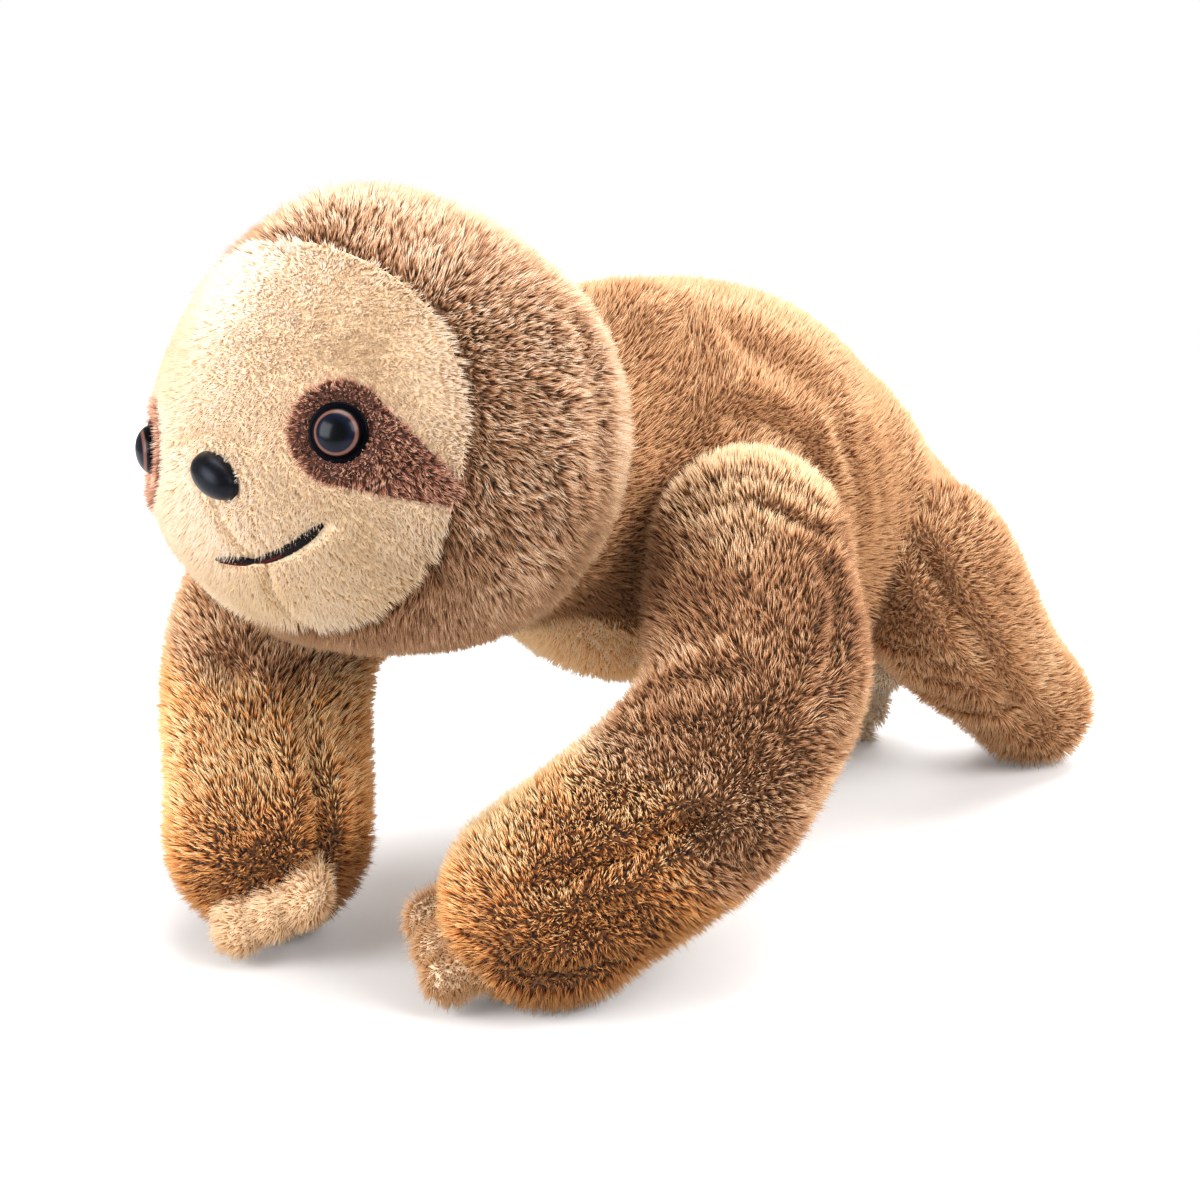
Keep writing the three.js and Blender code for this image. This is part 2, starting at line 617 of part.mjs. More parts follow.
/** Turns a point about a line along X through a place. */
function swingAbout(point, pivot, degrees) {
  return point.clone().sub(pivot).applyAxisAngle(LIMB_SIDE_AXIS, radians(degrees)).add(pivot);
}

/** A limb's cover and stuffing, cut by what it meets. */
function addLimb(name, form, trim) {
  const outside = solid(stuffedForm(form, 0, LIMB_FACETS));
  const inside = solid(stuffedForm(form, -FUR_FABRIC, CORE_FACETS));
  const core = solid(stuffedForm(form, -FUR_FABRIC - CLEARANCE, CORE_FACETS));
  addPiece(group, `${name}_cover`, geometryOf(outside.subtract(inside).subtract(trim)), TAN_FUR);
  addPiece(group, `${name}_stuffing`, geometryOf(core.subtract(trim)), FIBRE);
}

function addArm(name, sign) {
  const side = (point) => new THREE.Vector3(sign * point.x, point.y, point.z);
  const stride = new THREE.Vector3(0, sign * STRIDE, 0);
  const paw = new THREE.Vector3(PAW_SIDE, elbow.y - PAW_AHEAD, PAW_RADIUS - SOLE_CUT).add(stride);
  const form = {
    centres: [shoulder, elbow.clone().add(stride), paw].map(side),
    radii: [SHOULDER_RADIUS, ELBOW_RADIUS, PAW_RADIUS],
    across: LIMB_SIDE_AXIS,
  };
  const seam = shoulderSeam + CLEARANCE;
  const inboard = sign > 0 ? [-FAR, seam] : [-seam, FAR];
  let trim = barAlongX(shoulder, SHOULDER_SEAM_RADIUS, ...inboard).add(belowFloor);
  for (const swing of [-SHOULDER_RANGE, 0, SHOULDER_RANGE]) {
    trim = trim.add(roundRoom(swingAbout(headCentre, shoulder, swing), headRoom, BALL_SIDES));
  }
  addLimb(`${name}_arm`, form, trim);
  addClaws(`${name}_fore`, {
    pawCentre: side(paw),
    pawRadius: PAW_RADIUS,
    way: side(FORE_CLAW_WAY),
    row: side(FORE_CLAW_ROW),
    form,
  });
}

/** The rump in each place that it takes, seen from a leg that swings to its limits. */
function rumpRoom() {
  let room = belowFloor;
  for (const swing of [-HIP_RANGE, 0, HIP_RANGE]) {
    const turn = new THREE.Matrix4().makeRotationX(radians(swing));
    const turned = hipPivot.clone().applyMatrix4(turn);
    turn.setPosition(hipPivot.clone().sub(turned));
    const rump = geometryOf(bodyForm(HIP_GAP, BODY_FACETS)).applyMatrix4(turn);
    room = room.add(solid(rump));
  }
  return room;
}

function addLeg(name, sign) {
  const side = (point) => new THREE.Vector3(sign * point.x, point.y, point.z);
  const footBack = hipPivot.y + FOOT_BEHIND + sign * FOOT_STRIDE;
  const foot = new THREE.Vector3(FOOT_SIDE, footBack, FOOT_RADIUS - SOLE_CUT);
  const form = {
    centres: [hip, foot].map(side),
    radii: [HIP_RADIUS, FOOT_RADIUS],
    across: LIMB_SIDE_AXIS,
  };
  addLimb(`${name}_leg`, form, rumpRoom());
  const turn = radians(sign > 0 ? LEFT_HIND_CLAW_TURN : RIGHT_HIND_CLAW_TURN);
  const dip = radians(HIND_CLAW_DIP);
  const inward = new THREE.Vector3(-Math.cos(turn), Math.sin(turn), 0);
  const way = inward.clone().multiplyScalar(Math.cos(dip)).setZ(-Math.sin(dip));
  const row = new THREE.Vector3(0, 0, -1).addScaledVector(way, way.z).normalize();
  row.applyAxisAngle(way, radians(HIND_CLAW_ROW_TILT));
  addClaws(`${name}_hind`, {
    pawCentre: side(foot),
    pawRadius: FOOT_RADIUS,
    way: side(way),
    row: side(row),
    form,
  });
}

addBody();
addHead();
for (const [name, sign] of [['left', 1], ['right', -1]]) {
  addArm(name, sign);
  addLeg(name, sign);
}

// The origin is under the middle of the whole animal, on the floor.
const box = new THREE.Box3().setFromObject(group, true);
const middle = box.getCenter(new THREE.Vector3());
group.position.set(-middle.x, -middle.y, -box.min.z);

export default group;
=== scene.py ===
import json
import math
from collections import namedtuple

import bpy
import numpy as np
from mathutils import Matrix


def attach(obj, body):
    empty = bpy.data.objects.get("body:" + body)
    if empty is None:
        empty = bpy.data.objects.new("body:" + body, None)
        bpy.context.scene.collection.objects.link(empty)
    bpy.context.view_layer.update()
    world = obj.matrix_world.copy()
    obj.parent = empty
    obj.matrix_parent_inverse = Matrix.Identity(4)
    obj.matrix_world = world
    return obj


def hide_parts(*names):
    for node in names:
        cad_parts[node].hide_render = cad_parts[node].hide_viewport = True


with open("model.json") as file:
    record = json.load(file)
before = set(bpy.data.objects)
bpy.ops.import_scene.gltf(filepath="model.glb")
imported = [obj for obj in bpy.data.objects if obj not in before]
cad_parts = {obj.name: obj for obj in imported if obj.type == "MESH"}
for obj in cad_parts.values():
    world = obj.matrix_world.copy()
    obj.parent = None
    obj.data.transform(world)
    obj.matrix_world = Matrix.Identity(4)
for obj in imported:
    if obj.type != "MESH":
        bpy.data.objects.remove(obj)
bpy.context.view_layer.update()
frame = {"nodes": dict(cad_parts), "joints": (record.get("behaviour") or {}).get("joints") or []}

MM = 0.001

# Places of the frame
NECK_PIVOT = np.array([0.0, -35.0, 155.0])
neck_joint = next(joint for joint in frame["joints"] if joint["name"] == "head_turn")
ORIGIN = np.array(neck_joint["pos_m"]) / MM - NECK_PIVOT

# Camera, as in the photograph: 1200 pixels square
CAMERA_TURN = 40.0  # degrees round from the front, to its left
CAMERA_RISE = 17.3
CAMERA_DISTANCE = 1150.0
CAMERA_TARGET = np.array([-4.18, 0.0, 97.4])
CAMERA_FOCUS_PIXELS = 3392.5
FRAME_PIXELS = 1200

# Studio: lamps by place to the right of, above and nearer than the target, with size and watts
LAMPS = (
    ("key_window", (-1050, 420, 750), 900, 23),
    ("top_softbox", (100, 1200, -200), 1000, 22),
    ("back_softbox", (500, 650, -1000), 900, 13),
    ("fill_window", (1000, 750, 650), 800, 19.5),
)
WORLD_LIGHT = 0.42
FLOOR_LIFT = 0.09  # of the floor's white, to the camera alone
FLOOR_HALF_SIZE = 800.0

Form = namedtuple("Form", "stations radii width across")
Pile = namedtuple("Pile", "length lean density half_width tuft pull parting spread mottle")
# shade: each hair's shift of tone, part random and part painted shade and painted light
Hairs = namedtuple("Hairs", "root normal luck nap length clump shade")
Stitches = namedtuple("Stitches", "count offset half_length radius tone lift")

# Body
BODY = Form(
    np.array([[0, -44, 150], [0, 4, 139], [0, 52, 128], [0, 100, 107], [0, 148, 83]], float),
    np.array([50, 69.3, 69.8, 59.5, 44]),
    0.88,
    np.array([0.0, 0.0, 1.0]),
)
BELLY_SHARE = (0.344, 0.417)  # middle and half length along the spine
BELLY_HALF_TURN, BELLY_FUR_TURN = 41, 54  # degrees to each side of straight down
BELLY_HALF_THICKNESS = 0.6
BELLY_OFF_HEAD = 2.0  # gap between the belly's fur and the head's ball
BODY_SPLIT = 45.0  # along Y, between the front and rear pieces of the fur
HEAD_DISH = 9.0  # how far the head's ball sinks into the body's skin

# Head
HEAD_CENTRE = NECK_PIVOT + np.array([-5, -64, 21])
HEAD_RADIUS = 74.0
HEAD_TURN, HEAD_TILT, HEAD_LIFT = 9, 14, 5  # degrees
# Swellings of the head's ball: degrees left and up of each middle, its height and its spread in degrees
HEAD_SWELLINGS = (
    (0, 128, -6.0, 34),
    (0, 84, 4.0, 26),
    (0, -84, -4.5, 28),
    (42, -14, 5.0, 26),
    (-30, -14, 5.0, 26),
)
FACE_HALF_WIDTH, FACE_HALF_HEIGHT = 68.0, 57.0  # degrees from straight ahead
# Shifts of the face's seam: degrees round from the left, the shift there and its spread
SEAM_SHIFTS = ((30, 4.5, 28), (115, -3.5, 26), (-112, -9.0, 32))
HEAD_COLUMNS = 128
FACE_FIRST_RING = 0.015  # share of the way from the face's middle to its seam
FACE_BACKING, HOOD_BACKING = 7.4, 7.8  # depths of the skins' inner layers
HOOD_SPLIT = 18.0  # along the head's own Y, between the front and back pieces of the fur
FACE_MIDDLE, EYE_SIDE, EYE_RISE = 6.0, 34.3, 1.0  # degrees
EYE_RADIUS, EYE_DOME, EYE_SINK = 9.0, 5.5, 4.0
EYE_RIM_ROUND, EYE_RIM_HALF = 0.8, 0.9
EYE_DOME_INSET, EYE_DOME_FOOT = 1.5, 1.3
EYE_DIMPLE = 1.6  # of the patch under the eye
PATCH_RADIUS, PATCH_TAIL_RADIUS = 15.0, 5.0
PATCH_TAIL = np.array([27.5, -18.8])  # out and up from the eye
PATCH_THICKNESS = 2.6
NOSE_DROP, NOSE_TURN = 6.3, 35.0  # degrees, its left end down
NOSE_HALF_WIDTH, NOSE_HALF_HEIGHT, NOSE_DOME, NOSE_SINK = 9.6, 6.5, 6.0, 2.5
NOSE_RIM_ROUND, NOSE_DOME_INSET, NOSE_DOME_FOOT = 0.7, 0.3, 0.8
STEM_RADIUS, STEM_LENGTH = 2.0, 11.0
MOUTH_MIDDLE, MOUTH_LEFT, MOUTH_RIGHT, MOUTH_TAIL = 8.0, 29.0, 13.5, 4.5  # the ends are from the middle
MOUTH_FIRST, MOUTH_LAST = MOUTH_MIDDLE - MOUTH_RIGHT, MOUTH_MIDDLE + MOUTH_LEFT + MOUTH_TAIL
MOUTH_DROP, MOUTH_RISE, MOUTH_JOINT = 35.2, 7.2, 10.9
# Rows of satin stitches: how many, their shift across the line, half length, radius, tone and lift
BLACK_STITCHES = Stitches(160, 0.0, 1.7, 0.42, 0.2, 0.0)
RED_STITCHES = Stitches(120, -0.3, 0.5, 0.34, 0.8, 0.4)
RED_END_GAP, RED_REACH = 1.6, 13.0  # from the ends, and to the left of the joint
STITCH_SLANT, STITCH_DEPTH, STITCH_CROWN = 0.55, 1.9, 0.9
# Creases of the face: left and up along each, its width and its depth
FACE_CREASES = (
    (((3, -15), (4, -22), (6, -27), (12, -34), (11, -37.5), (7, -43), (5, -49), (4.5, -57)), 1.8, 1.0),
    (((-8, 2.6), (-2, 4.4), (6.5, 4.8), (15, 3.3), (22, -0.4)), 2.4, 0.5),
)
CREASE_DEPTH, PATCH_DENT = 2.2, 1.2
MOUTH_DENT, MOUTH_DENT_WIDTH = 0.4, 2.2

# Limbs on the left, mirrored for the right
SHOULDER = np.array([66.98, -12, 130])
ELBOW = SHOULDER + np.array([26, -42, -41])
PAW = np.array([54, -103, 33.8])
ARM_STRIDE = np.array([0, 8, 0])  # the left arm stands this far back, the right one forward
ARM_RADII = np.array([35.0, 37, 35])
HIP = np.array([42.02, 126, 89])
FOOT = np.array([50, 178, 22.8])
FOOT_STRIDE = np.array([0, 11, 0])
LEG_RADII = np.array([34.0, 24])
SIDEWAYS = np.array([1.0, 0.0, 0.0])
SHOULDER_SEAM = 52.5  # where an arm lies flat on the body, along X
SHOULDER_SEAM_REACH = 46.0  # of that flat round the shoulder
PAW_FLAT = 4.0  # height of the flat under a paw's skin
HIP_SINK = 3.0  # of a leg's skin below the body's

# Claws, three on each paw
CLAW_RADIUS = 6.8
FORE_CLAW_REACH, FORE_CLAW_PITCH = 11.5, 11.6
HIND_CLAW_PITCH = 14.2
CLAW_SPREAD = 1.45  # of a claw along its row, to that across
CLAW_TIP_ROUND = 3.0  # how far the wide tip reaches past the claw's radius
FORE_CLAW_WAY = np.array([-0.67, -0.61, -0.42])
FORE_CLAW_ROW = np.array([0.75, -0.47, -0.46])
HIND_CLAW_TURN = {1: 50.0, -1: 3.0}
HIND_CLAW_REACH = {1: 15.0, -1: 24.0}  # the right foot's show past the left arm
HIND_CLAW_DIP, HIND_CLAW_ROW_TILT = 14.0, 20.0
# Tone shifts of the claws: painted shade on the fore claws, most on the left, and painted light on the hind
# claws, which lie in shade
FORE_CLAW_PAINTED_SHADE, HIND_CLAW_PAINTED_LIGHT = {1: -0.7, -1: -0.1}, 0.8

# Pile: length and half width of hairs in millimetres, lean from upright and spread of the nap in degrees,
# density in hairs on a square centimetre, tuft and parting as the sizes of tufts and of wider locks, pull of
# the tips to their tuft, and mottle of the tones
FUR = Pile(5.0, 26, 147, 0.25, 2.2, 0.52, 8.0, 46, 1.0)
BACK = Pile(5.0, 34, 130, 0.26, 1.6, 0.35, 9.0, 28, 0.7)
HOOD = Pile(5.0, 24, 212, 0.225, 2.0, 0.55, 7.0, 60, 1.3)
CREAM = Pile(3.6, 40, 340, 0.205, 1.9, 0.35, 6.0, 26, 0.42)
PATCH = Pile(3.4, 24, 380, 0.18, 1.8, 0.55, 5.0, 60, 1.5)
CLAW = Pile(4.6, 42, 220, 0.25, 2.0, 0.4, 5.0, 40, 0.5)
SKIN_DEPTH = {"fur": 3.6, "hood": 3.7, "cream": 2.7, "patch": 2.0, "claw": 1.8}
SQUARE_CENTIMETRE = 100.0  # in square millimetres
LEG_DENSITY_SHARE = 0.87  # of the arms' hairs
# Ways in which the piles are brushed
BODY_NAP = np.array([0, 0.6, 0.8])
HOOD_NAP = np.array([0.0, 0.45, -0.9])  # in the head's frame
ARM_NAP = np.array([0, 0, 1.0])
LEG_NAP = np.array([0, 0.55, 0.8])
# Hairs rooted deeper than this in a neighbouring piece never show, and are left out
BODY_FUR_IN_HEAD, BODY_FUR_IN_LIMB = 5.0, 11.0
HOOD_FUR_IN_BODY = 10.0
ARM_FUR_IN_BODY, ARM_FUR_IN_HEAD = 11.0, 7.0
LEG_FUR_IN_BODY = 7.5
CLAW_FUR_IN_PAW = 5.0
# Room in the face's fur: round the nose as a share of its oval, at the mouth and over a patch's edge
NOSE_FUR_EDGE = 0.9
MOUTH_CLEAR_ABOVE, MOUTH_CLEAR_BELOW = 1.5, 0.5
PATCH_OVERLAP = 0.4
# Spreads of a hair's lean in degrees by the luck of its tuft, of its wider lock and its own
TUFT_LEAN, LOCK_LEAN, HAIR_LEAN = 18, 12, 16
LEAN_LIMITS = (-12, 75)
GUARD_LUCK, GUARD_LENGTH = 0.94, 0.3  # hairs luckier than this are longer by that share
LOCK_PULL = 0.2  # towards the wider lock, to that towards the tuft
FOOT_DEPTH = 0.8  # of a hair's foot below the skin
GROOVE_SHORT, GROOVE_PAINTED_SHADE = 0.3, 0.4  # loss of length, and of tone as painted shade, in a groove

# Ranges over which an arm's fur changes from none to all: heights, or places along X
GOLDEN_HEIGHTS = (100, 62)  # the golden forearm below the brown upper arm
BROWN_SIDE = (94, 114)  # along X, the left forearm's outer side
PAINTED_SHADE_FROM, PAINTED_SHADE_TO = (96, 110), (156, 140)  # a band of painted shade above the elbow
# Heights over which the paw takes painted shade, most near the floor
PAW_PAINTED_SHADE_HEIGHTS = (48, 12)
CHIN_SHADE_SIDE, CHIN_SHADE_HEIGHTS = (-50, -25), (110, 80)  # painted shadow of the head on the right forearm's side under the chin
CAP_HEIGHT, CAP_HEIGHT_SPREAD = 132, 16  # of the shoulder's cap, paler as painted light from above
CAP_SLOPE, CAP_SLOPE_SPREAD = 0.42, 0.4  # of its normals, upwards

# Folds of the stuffed skins: the line that each follows, its width, and its height, below 0 for a groove
Fold = namedtuple("Fold", "path width height")
RIDGE_SHARE, RIDGE_PLACE = 0.6, 2.1  # of the ridges beside a groove: height to its depth, place in widths
BODY_FOLDS = [
    Fold([(23, -4, 203), (32, -17, 197), (37, -31, 188), (41, -38, 177), (48, -40, 161)], 3.6, -4.0),
    Fold([(34, 6, 197), (43, -8, 187), (49, -20, 176), (53, -27, 164)], 6.5, 1.6),
    Fold([(38, 22, 189), (45, 38, 181), (51, 50, 170)], 7.0, -2.0),
    Fold([(50, -5, 178), (53, 12, 174), (54, 24, 169)], 6.5, 2.4),
    Fold([(54, -2, 170), (56, 10, 167), (58, 28, 157), (60, 37, 146)], 4.5, -3.2),
    Fold([(57, 50, 156), (60, 57, 140), (61, 61, 124)], 5.0, -1.8),
    Fold([(57, 66, 150), (59, 71, 136), (60, 75, 122)], 5.0, -1.4),
    Fold([(40, -52, 122), (20, -58, 104), (8, -60, 96)], 4.0, -2.2),
]
LEFT_ARM_FOLDS = [
    Fold([(60, -39, 152), (81, -23, 160), (96, -13, 150)], 3.2, -2.4),
    Fold([(59, -43, 146), (85, -30, 154), (101, -17, 141)], 3.4, -1.8),
    Fold([(104, -24, 137), (113, -27, 125), (123, -43, 111), (126, -54, 102)], 3.6, -2.8),
    Fold([(77, -82, 102), (90, -80, 107), (101, -75, 110), (108, -70, 112)], 3.8, -2.4),
    Fold([(108, -86, 72), (101, -93, 69), (93, -102, 61), (85, -110, 57), (70, -122, 50)], 3.6, -2.6),
    Fold([(66, -126, 24), (77, -116, 22), (87, -103, 25)], 3.5, -2.2),
]
RIGHT_ARM_FOLDS = [
    Fold([(-60, -39, 152), (-81, -23, 160), (-96, -13, 150)], 3.4, -2.0),
    Fold([(-52, -98, 88), (-41, -105, 74), (-29, -112, 58), (-21, -119, 42), (-21, -121, 28)], 4.0, -3.8),
    Fold([(-80, -104, 84), (-66, -112, 84), (-52, -110, 90)], 4.0, -1.8),
]
HOOD_FOLDS = [
    Fold([(70, 12, -18), (69, 15, -24), (67, 15, -30)], 3.0, -3.4),
    Fold([(66, 28, 30), (71, 26, 4), (70, 23, -18)], 6.0, -1.6),
]
LEG_FOLDS = [
    Fold(
        [
            (57, 100, 105), (62, 100, 97), (70, 107, 83), (71, 119, 70),
            (70, 134, 54), (68, 152, 37), (68, 168, 22),
        ],
        3.8,
        -3.6,
    ),
    Fold([(43, 98, 69), (59, 105, 68)], 3.0, -2.6),
    Fold([(50, 114, 54), (60, 122, 52), (68, 134, 51)], 3.0, -2.6),
    Fold([(44, 134, 37), (57, 142, 38), (68, 149, 39)], 3.0, -2.6),
]
# Places where a skin settles: the middle, how far round it, and the shift there
Sag = namedtuple("Sag", "place reach shift")
BODY_SAGS = [Sag((0, -38, 86), 40, (0, 0, 4.0))]
LEFT_ARM_SAGS = [Sag((74, -70, 60), 46, (2.6, 0.9, -3.2)), Sag((126, -40, 75), 24, (-3.6, -2.6, 1.0))]
LEG_SAGS = [Sag((46, 157, 56), 45, (-1.6, -2.4, -2.7))]
FLOOR_GAP = 0.3  # of the lowest tips


def unit(vectors):
    """Vectors at length 1."""
    return vectors / np.maximum(np.linalg.norm(vectors, axis=-1, keepdims=True), 1e-9)


def smoothstep(low, high, value):
    """0 below low, 1 above high, and 3t^2 - 2t^3 between."""
    t = np.clip((value - low) / (high - low), 0, 1)
    return t * t * (3 - 2 * t)


def turn_about(axis, degrees):
    """The rotation matrix about the axis number 0, 1 or 2."""
    cosine, sine = math.cos(math.radians(degrees)), math.sin(math.radians(degrees))
    matrix = np.eye(3)
    one, two = (axis + 1) % 3, (axis + 2) % 3
    matrix[one, one] = matrix[two, two] = cosine
    matrix[one, two], matrix[two, one] = -sine, sine
    return matrix


HEAD_MATRIX = turn_about(2, -HEAD_TURN) @ turn_about(0, -HEAD_LIFT) @ turn_about(1, -HEAD_TILT)


def from_head(points):
    """Points of the head's own frame, at their place on the animal."""
    return points @ HEAD_MATRIX.T + HEAD_CENTRE


def into_head(points):
    """Points on the animal, in the head's own frame."""
    return (points - HEAD_CENTRE) @ HEAD_MATRIX


def face_direction(left, up):
    """The direction so many degrees to the left and up from straight ahead, in the head's frame."""
    left, up = math.radians(left), math.radians(up)
    return np.array([math.cos(up) * math.sin(left), -math.cos(up) * math.cos(left), math.sin(up)])


def mirrored(points, sign):
    """Places on the left, or their mirror on the right."""
    return points * np.array([sign, 1, 1])


# Curves and grids

def round_steps(count):
    """So many angles, evenly round a full turn."""
    return 2 * math.pi * np.arange(count) / count


def line_through(stations, share):
    """Points and directions on the centripetal Catmull-Rom curve through the stations, at shares 0 to 1."""
    ends = np.vstack([2 * stations[0] - stations[1], stations, 2 * stations[-1] - stations[-2]])

    def at(where):
        """A cubic between two stations, with tangents by the square roots of the spans beside it."""
        place = np.clip(where, 0, 1) * (len(stations) - 1)
        first = np.minimum(place.astype(int), len(stations) - 2)
        t = (place - first)[..., None]
        a, b, c, d = (ends[first + step] for step in range(4))
        spans = ((a, b), (b, c), (c, d))
        ab, bc, cd = (np.sqrt(np.linalg.norm(q - p, axis=-1, keepdims=True)) for p, q in spans)
        leave = bc * ((b - a) / ab - (c - a) / (ab + bc) + (c - b) / bc)
        arrive = bc * ((c - b) / bc - (d - b) / (bc + cd) + (d - c) / cd)
        blend = smoothstep(0, 1, t)
        return (1 - blend) * b + blend * c + (t**3 - 2 * t**2 + t) * leave + (t**3 - t**2) * arrive

    step = 1e-3
    return at(share), unit(at(share + step) - at(share - step))


def radius_along(form, share):
    """The form's radius, eased from station to station."""
    place = np.clip(share, 0, 1) * (len(form.radii) - 1)
    first = np.minimum(place.astype(int), len(form.radii) - 2)
    return form.radii[first] + (form.radii[first + 1] - form.radii[first]) * smoothstep(0, 1, place - first)


def on_form(form, share, angle, radius, shift):
    """Points of oval sections across the form's line, shifted along it.

    Each is the centre + radius times (cos angle times wide + sin angle times tall)."""
    centre, tangent = line_through(form.stations, share)
    wide = unit(np.cross(tangent, form.across))
    tall = np.cross(tangent, wide)
    around = form.width * np.cos(angle)[..., None] * wide + np.sin(angle)[..., None] * tall
    return centre + shift[..., None] * tangent + radius[..., None] * around


def bag(form, grow, rings, caps, sides):
    """A stuffed bag: rows of sections from end to end, with a half ball at each end; columns run round."""
    along = np.linspace(0, 1, rings)
    turn = np.linspace(0.02, math.pi / 2, caps + 1)[:-1]
    first, last = form.radii[0] + grow, form.radii[-1] + grow
    share = np.concatenate([np.zeros(len(turn)), along, np.ones(len(turn))])
    shift = np.concatenate([-first * np.cos(turn), np.zeros(rings), last * np.cos(turn[::-1])])
    middle = radius_along(form, along) + grow
    radius = np.concatenate([first * np.sin(turn), middle, last * np.sin(turn[::-1])])
    angle = round_steps(sides)
    share, shift, radius = (np.repeat(row[:, None], sides, 1) for row in (share, shift, radius))
    return on_form(form, share, np.broadcast_to(angle, share.shape), radius, shift)


def grid_normals(grid):
    """Outward directions on a grid whose columns close: the way round crossed with the way along."""
    way_round = np.roll(grid, -1, axis=1) - np.roll(grid, 1, axis=1)
    return unit(np.cross(way_round, np.gradient(grid, axis=0)))


def line_gap(points, path):
    """Distance of points from a broken line: the least over its straight stretches."""
    gap = np.full(points.shape[:-1], np.inf)
    for start, end in zip(np.array(path[:-1], float), np.array(path[1:], float)):
        way = end - start
        along = np.clip((points - start) @ way / (way @ way), 0, 1)
        gap = np.minimum(gap, np.linalg.norm(points - start - along[..., None] * way, axis=-1))
    return gap


def folded(grid, folds, sign):
    """A skin with its folds: bells across their lines, with a softer ridge each side of a groove."""
    rise = np.zeros(grid.shape[:2])
    for fold in folds:
        gap = line_gap(grid, mirrored(np.array(fold.path, float), sign)) / fold.width
        rise += fold.height * np.exp(-(gap**2))
        if fold.height < 0:
            rise -= RIDGE_SHARE * fold.height * np.exp(-((gap - RIDGE_PLACE) ** 2))
    return grid + rise[..., None] * grid_normals(grid)


def settled(grid, sags, sign):
    """A skin moved a little round some places, each shift fading as a bell over its reach."""
    moved = grid.copy()
    for sag in sags:
        gap = np.linalg.norm(grid - mirrored(np.array(sag.place), sign), axis=-1) / sag.reach
        moved += np.exp(-(gap**2))[..., None] * mirrored(np.array(sag.shift), sign)
    return moved


def in_grooves(points, folds, sign):
    """How much of a groove reaches each point, from 0 to 1: a bell a little narrower than the fold's."""
    narrower = 1.2
    reach = np.zeros(len(points))
    for fold in folds:
        if fold.height < 0:
            gap = line_gap(points, mirrored(np.array(fold.path, float), sign)) / fold.width
            reach = np.maximum(reach, np.exp(-((narrower * gap) ** 2)))
    return reach


def nearest_ball(form, points):
    """For each point, the ball that it lies deepest in, of those along a form's line.

    Gives its centre and radius, the way from it where the form is squeezed round, that squeeze and the
    depth."""
    share = np.linspace(0, 1, 25)
    centres, _ = line_through(form.stations, share)
    radii = radius_along(form, share)
    squeeze = np.array([1 / form.width, 1, 1])
    ways = (points[..., None, :] - centres) * squeeze
    gaps = np.linalg.norm(ways, axis=-1) - radii
    nearest = gaps.argmin(-1)
    way = np.take_along_axis(ways, nearest[..., None, None], -2)[..., 0, :]
    return centres[nearest], radii[nearest], way, squeeze, -gaps.min(-1)


def depth_in(form, points):
    """How deep points lie in a form, taken as the union of balls along its line."""
    return nearest_ball(form, points)[-1]


def push_out(points, form, depth):
    """Points deeper in a form than a depth, moved out to that depth along the way from the nearest ball."""
    centre, radius, way, squeeze, sunk = nearest_ball(form, points)
    target = centre + unit(way) * (radius - depth)[..., None] / squeeze
    return np.where((sunk > depth)[..., None], target, points)


def head_radius(direction):
    """The head's radius over the pile: a ball with broad swellings, each a bell over the angle from it."""
    radius = np.full(direction.shape[:-1], HEAD_RADIUS)
    for left, up, height, spread in HEAD_SWELLINGS:
        away = np.degrees(np.arccos(np.clip(direction @ face_direction(left, up), -1, 1)))
        radius = radius + height * np.exp(-((away / spread) ** 2))
    return radius


# Meshes

def make_piece(name, body, material, points, faces, values=None, bake_map=None):
    """A smooth mesh object at the origin, from points in millimetres and arrays of faces.

    values holds named numbers for each point, and bake_map a place on a baked texture for each
    corner."""
    mesh = bpy.data.meshes.new(name)
    mesh.vertices.add(len(points))
    mesh.vertices.foreach_set("co", ((points + ORIGIN) * MM).astype(np.float32).ravel())
    corners = np.concatenate([rows.ravel() for rows in faces]).astype(np.int32)
    sizes = np.concatenate([np.full(len(rows), rows.shape[1]) for rows in faces])
    mesh.loops.add(len(corners))
    mesh.loops.foreach_set("vertex_index", corners)
    mesh.polygons.add(len(sizes))
    mesh.polygons.foreach_set("loop_start", (np.cumsum(sizes) - sizes).astype(np.int32))
    mesh.polygons.foreach_set("use_smooth", np.ones(len(sizes), bool))
    mesh.update(calc_edges=True)
    for key, numbers in (values or {}).items():
        attribute = mesh.attributes.new(key, "FLOAT", "POINT")
        attribute.data.foreach_set("value", numbers.astype(np.float32).ravel())
    if bake_map is not None:
        layer = mesh.uv_layers.new(name="OFBake")
        layer.data.foreach_set("uv", bake_map.astype(np.float32).ravel())
    mesh.materials.append(material)
    piece = bpy.data.objects.new(name, mesh)
    bpy.context.scene.collection.objects.link(piece)
    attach(piece, body)
    return piece


def closed_rings(grid):
    """Points and faces of a grid closed by a point at each end, turned so that its faces point out."""
    rows, columns = grid.shape[:2]
    points = np.vstack([grid[0].mean(0), grid.reshape(-1, 3), grid[-1].mean(0)])
    place = 1 + np.arange(rows * columns).reshape(rows, columns)
    after = np.roll(place, -1, axis=1)
    quads = np.stack([place[:-1], after[:-1], after[1:], place[1:]], -1).reshape(-1, 4)
    start = np.stack([np.zeros(columns, int), after[0], place[0]], -1)
    end = np.stack([np.full(columns, len(points) - 1), place[-1], after[-1]], -1)
    corner = points[quads] - points.mean(0)
    volume = np.einsum("ij,ij->i", corner[:, 0], np.cross(corner[:, 1], corner[:, 2])).sum()
    faces = [quads, np.vstack([start, end])]
    return points, faces if volume > 0 else [part[:, ::-1] for part in faces]


def add_skin(name, body, material, grid, nodes):
    """A stuffed skin in place of the plain solids of the frame."""
    points, faces = closed_rings(grid)
    piece = make_piece(name, body, material, points, faces)
    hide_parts(*nodes)
    return piece


# Random fields, the same in every run

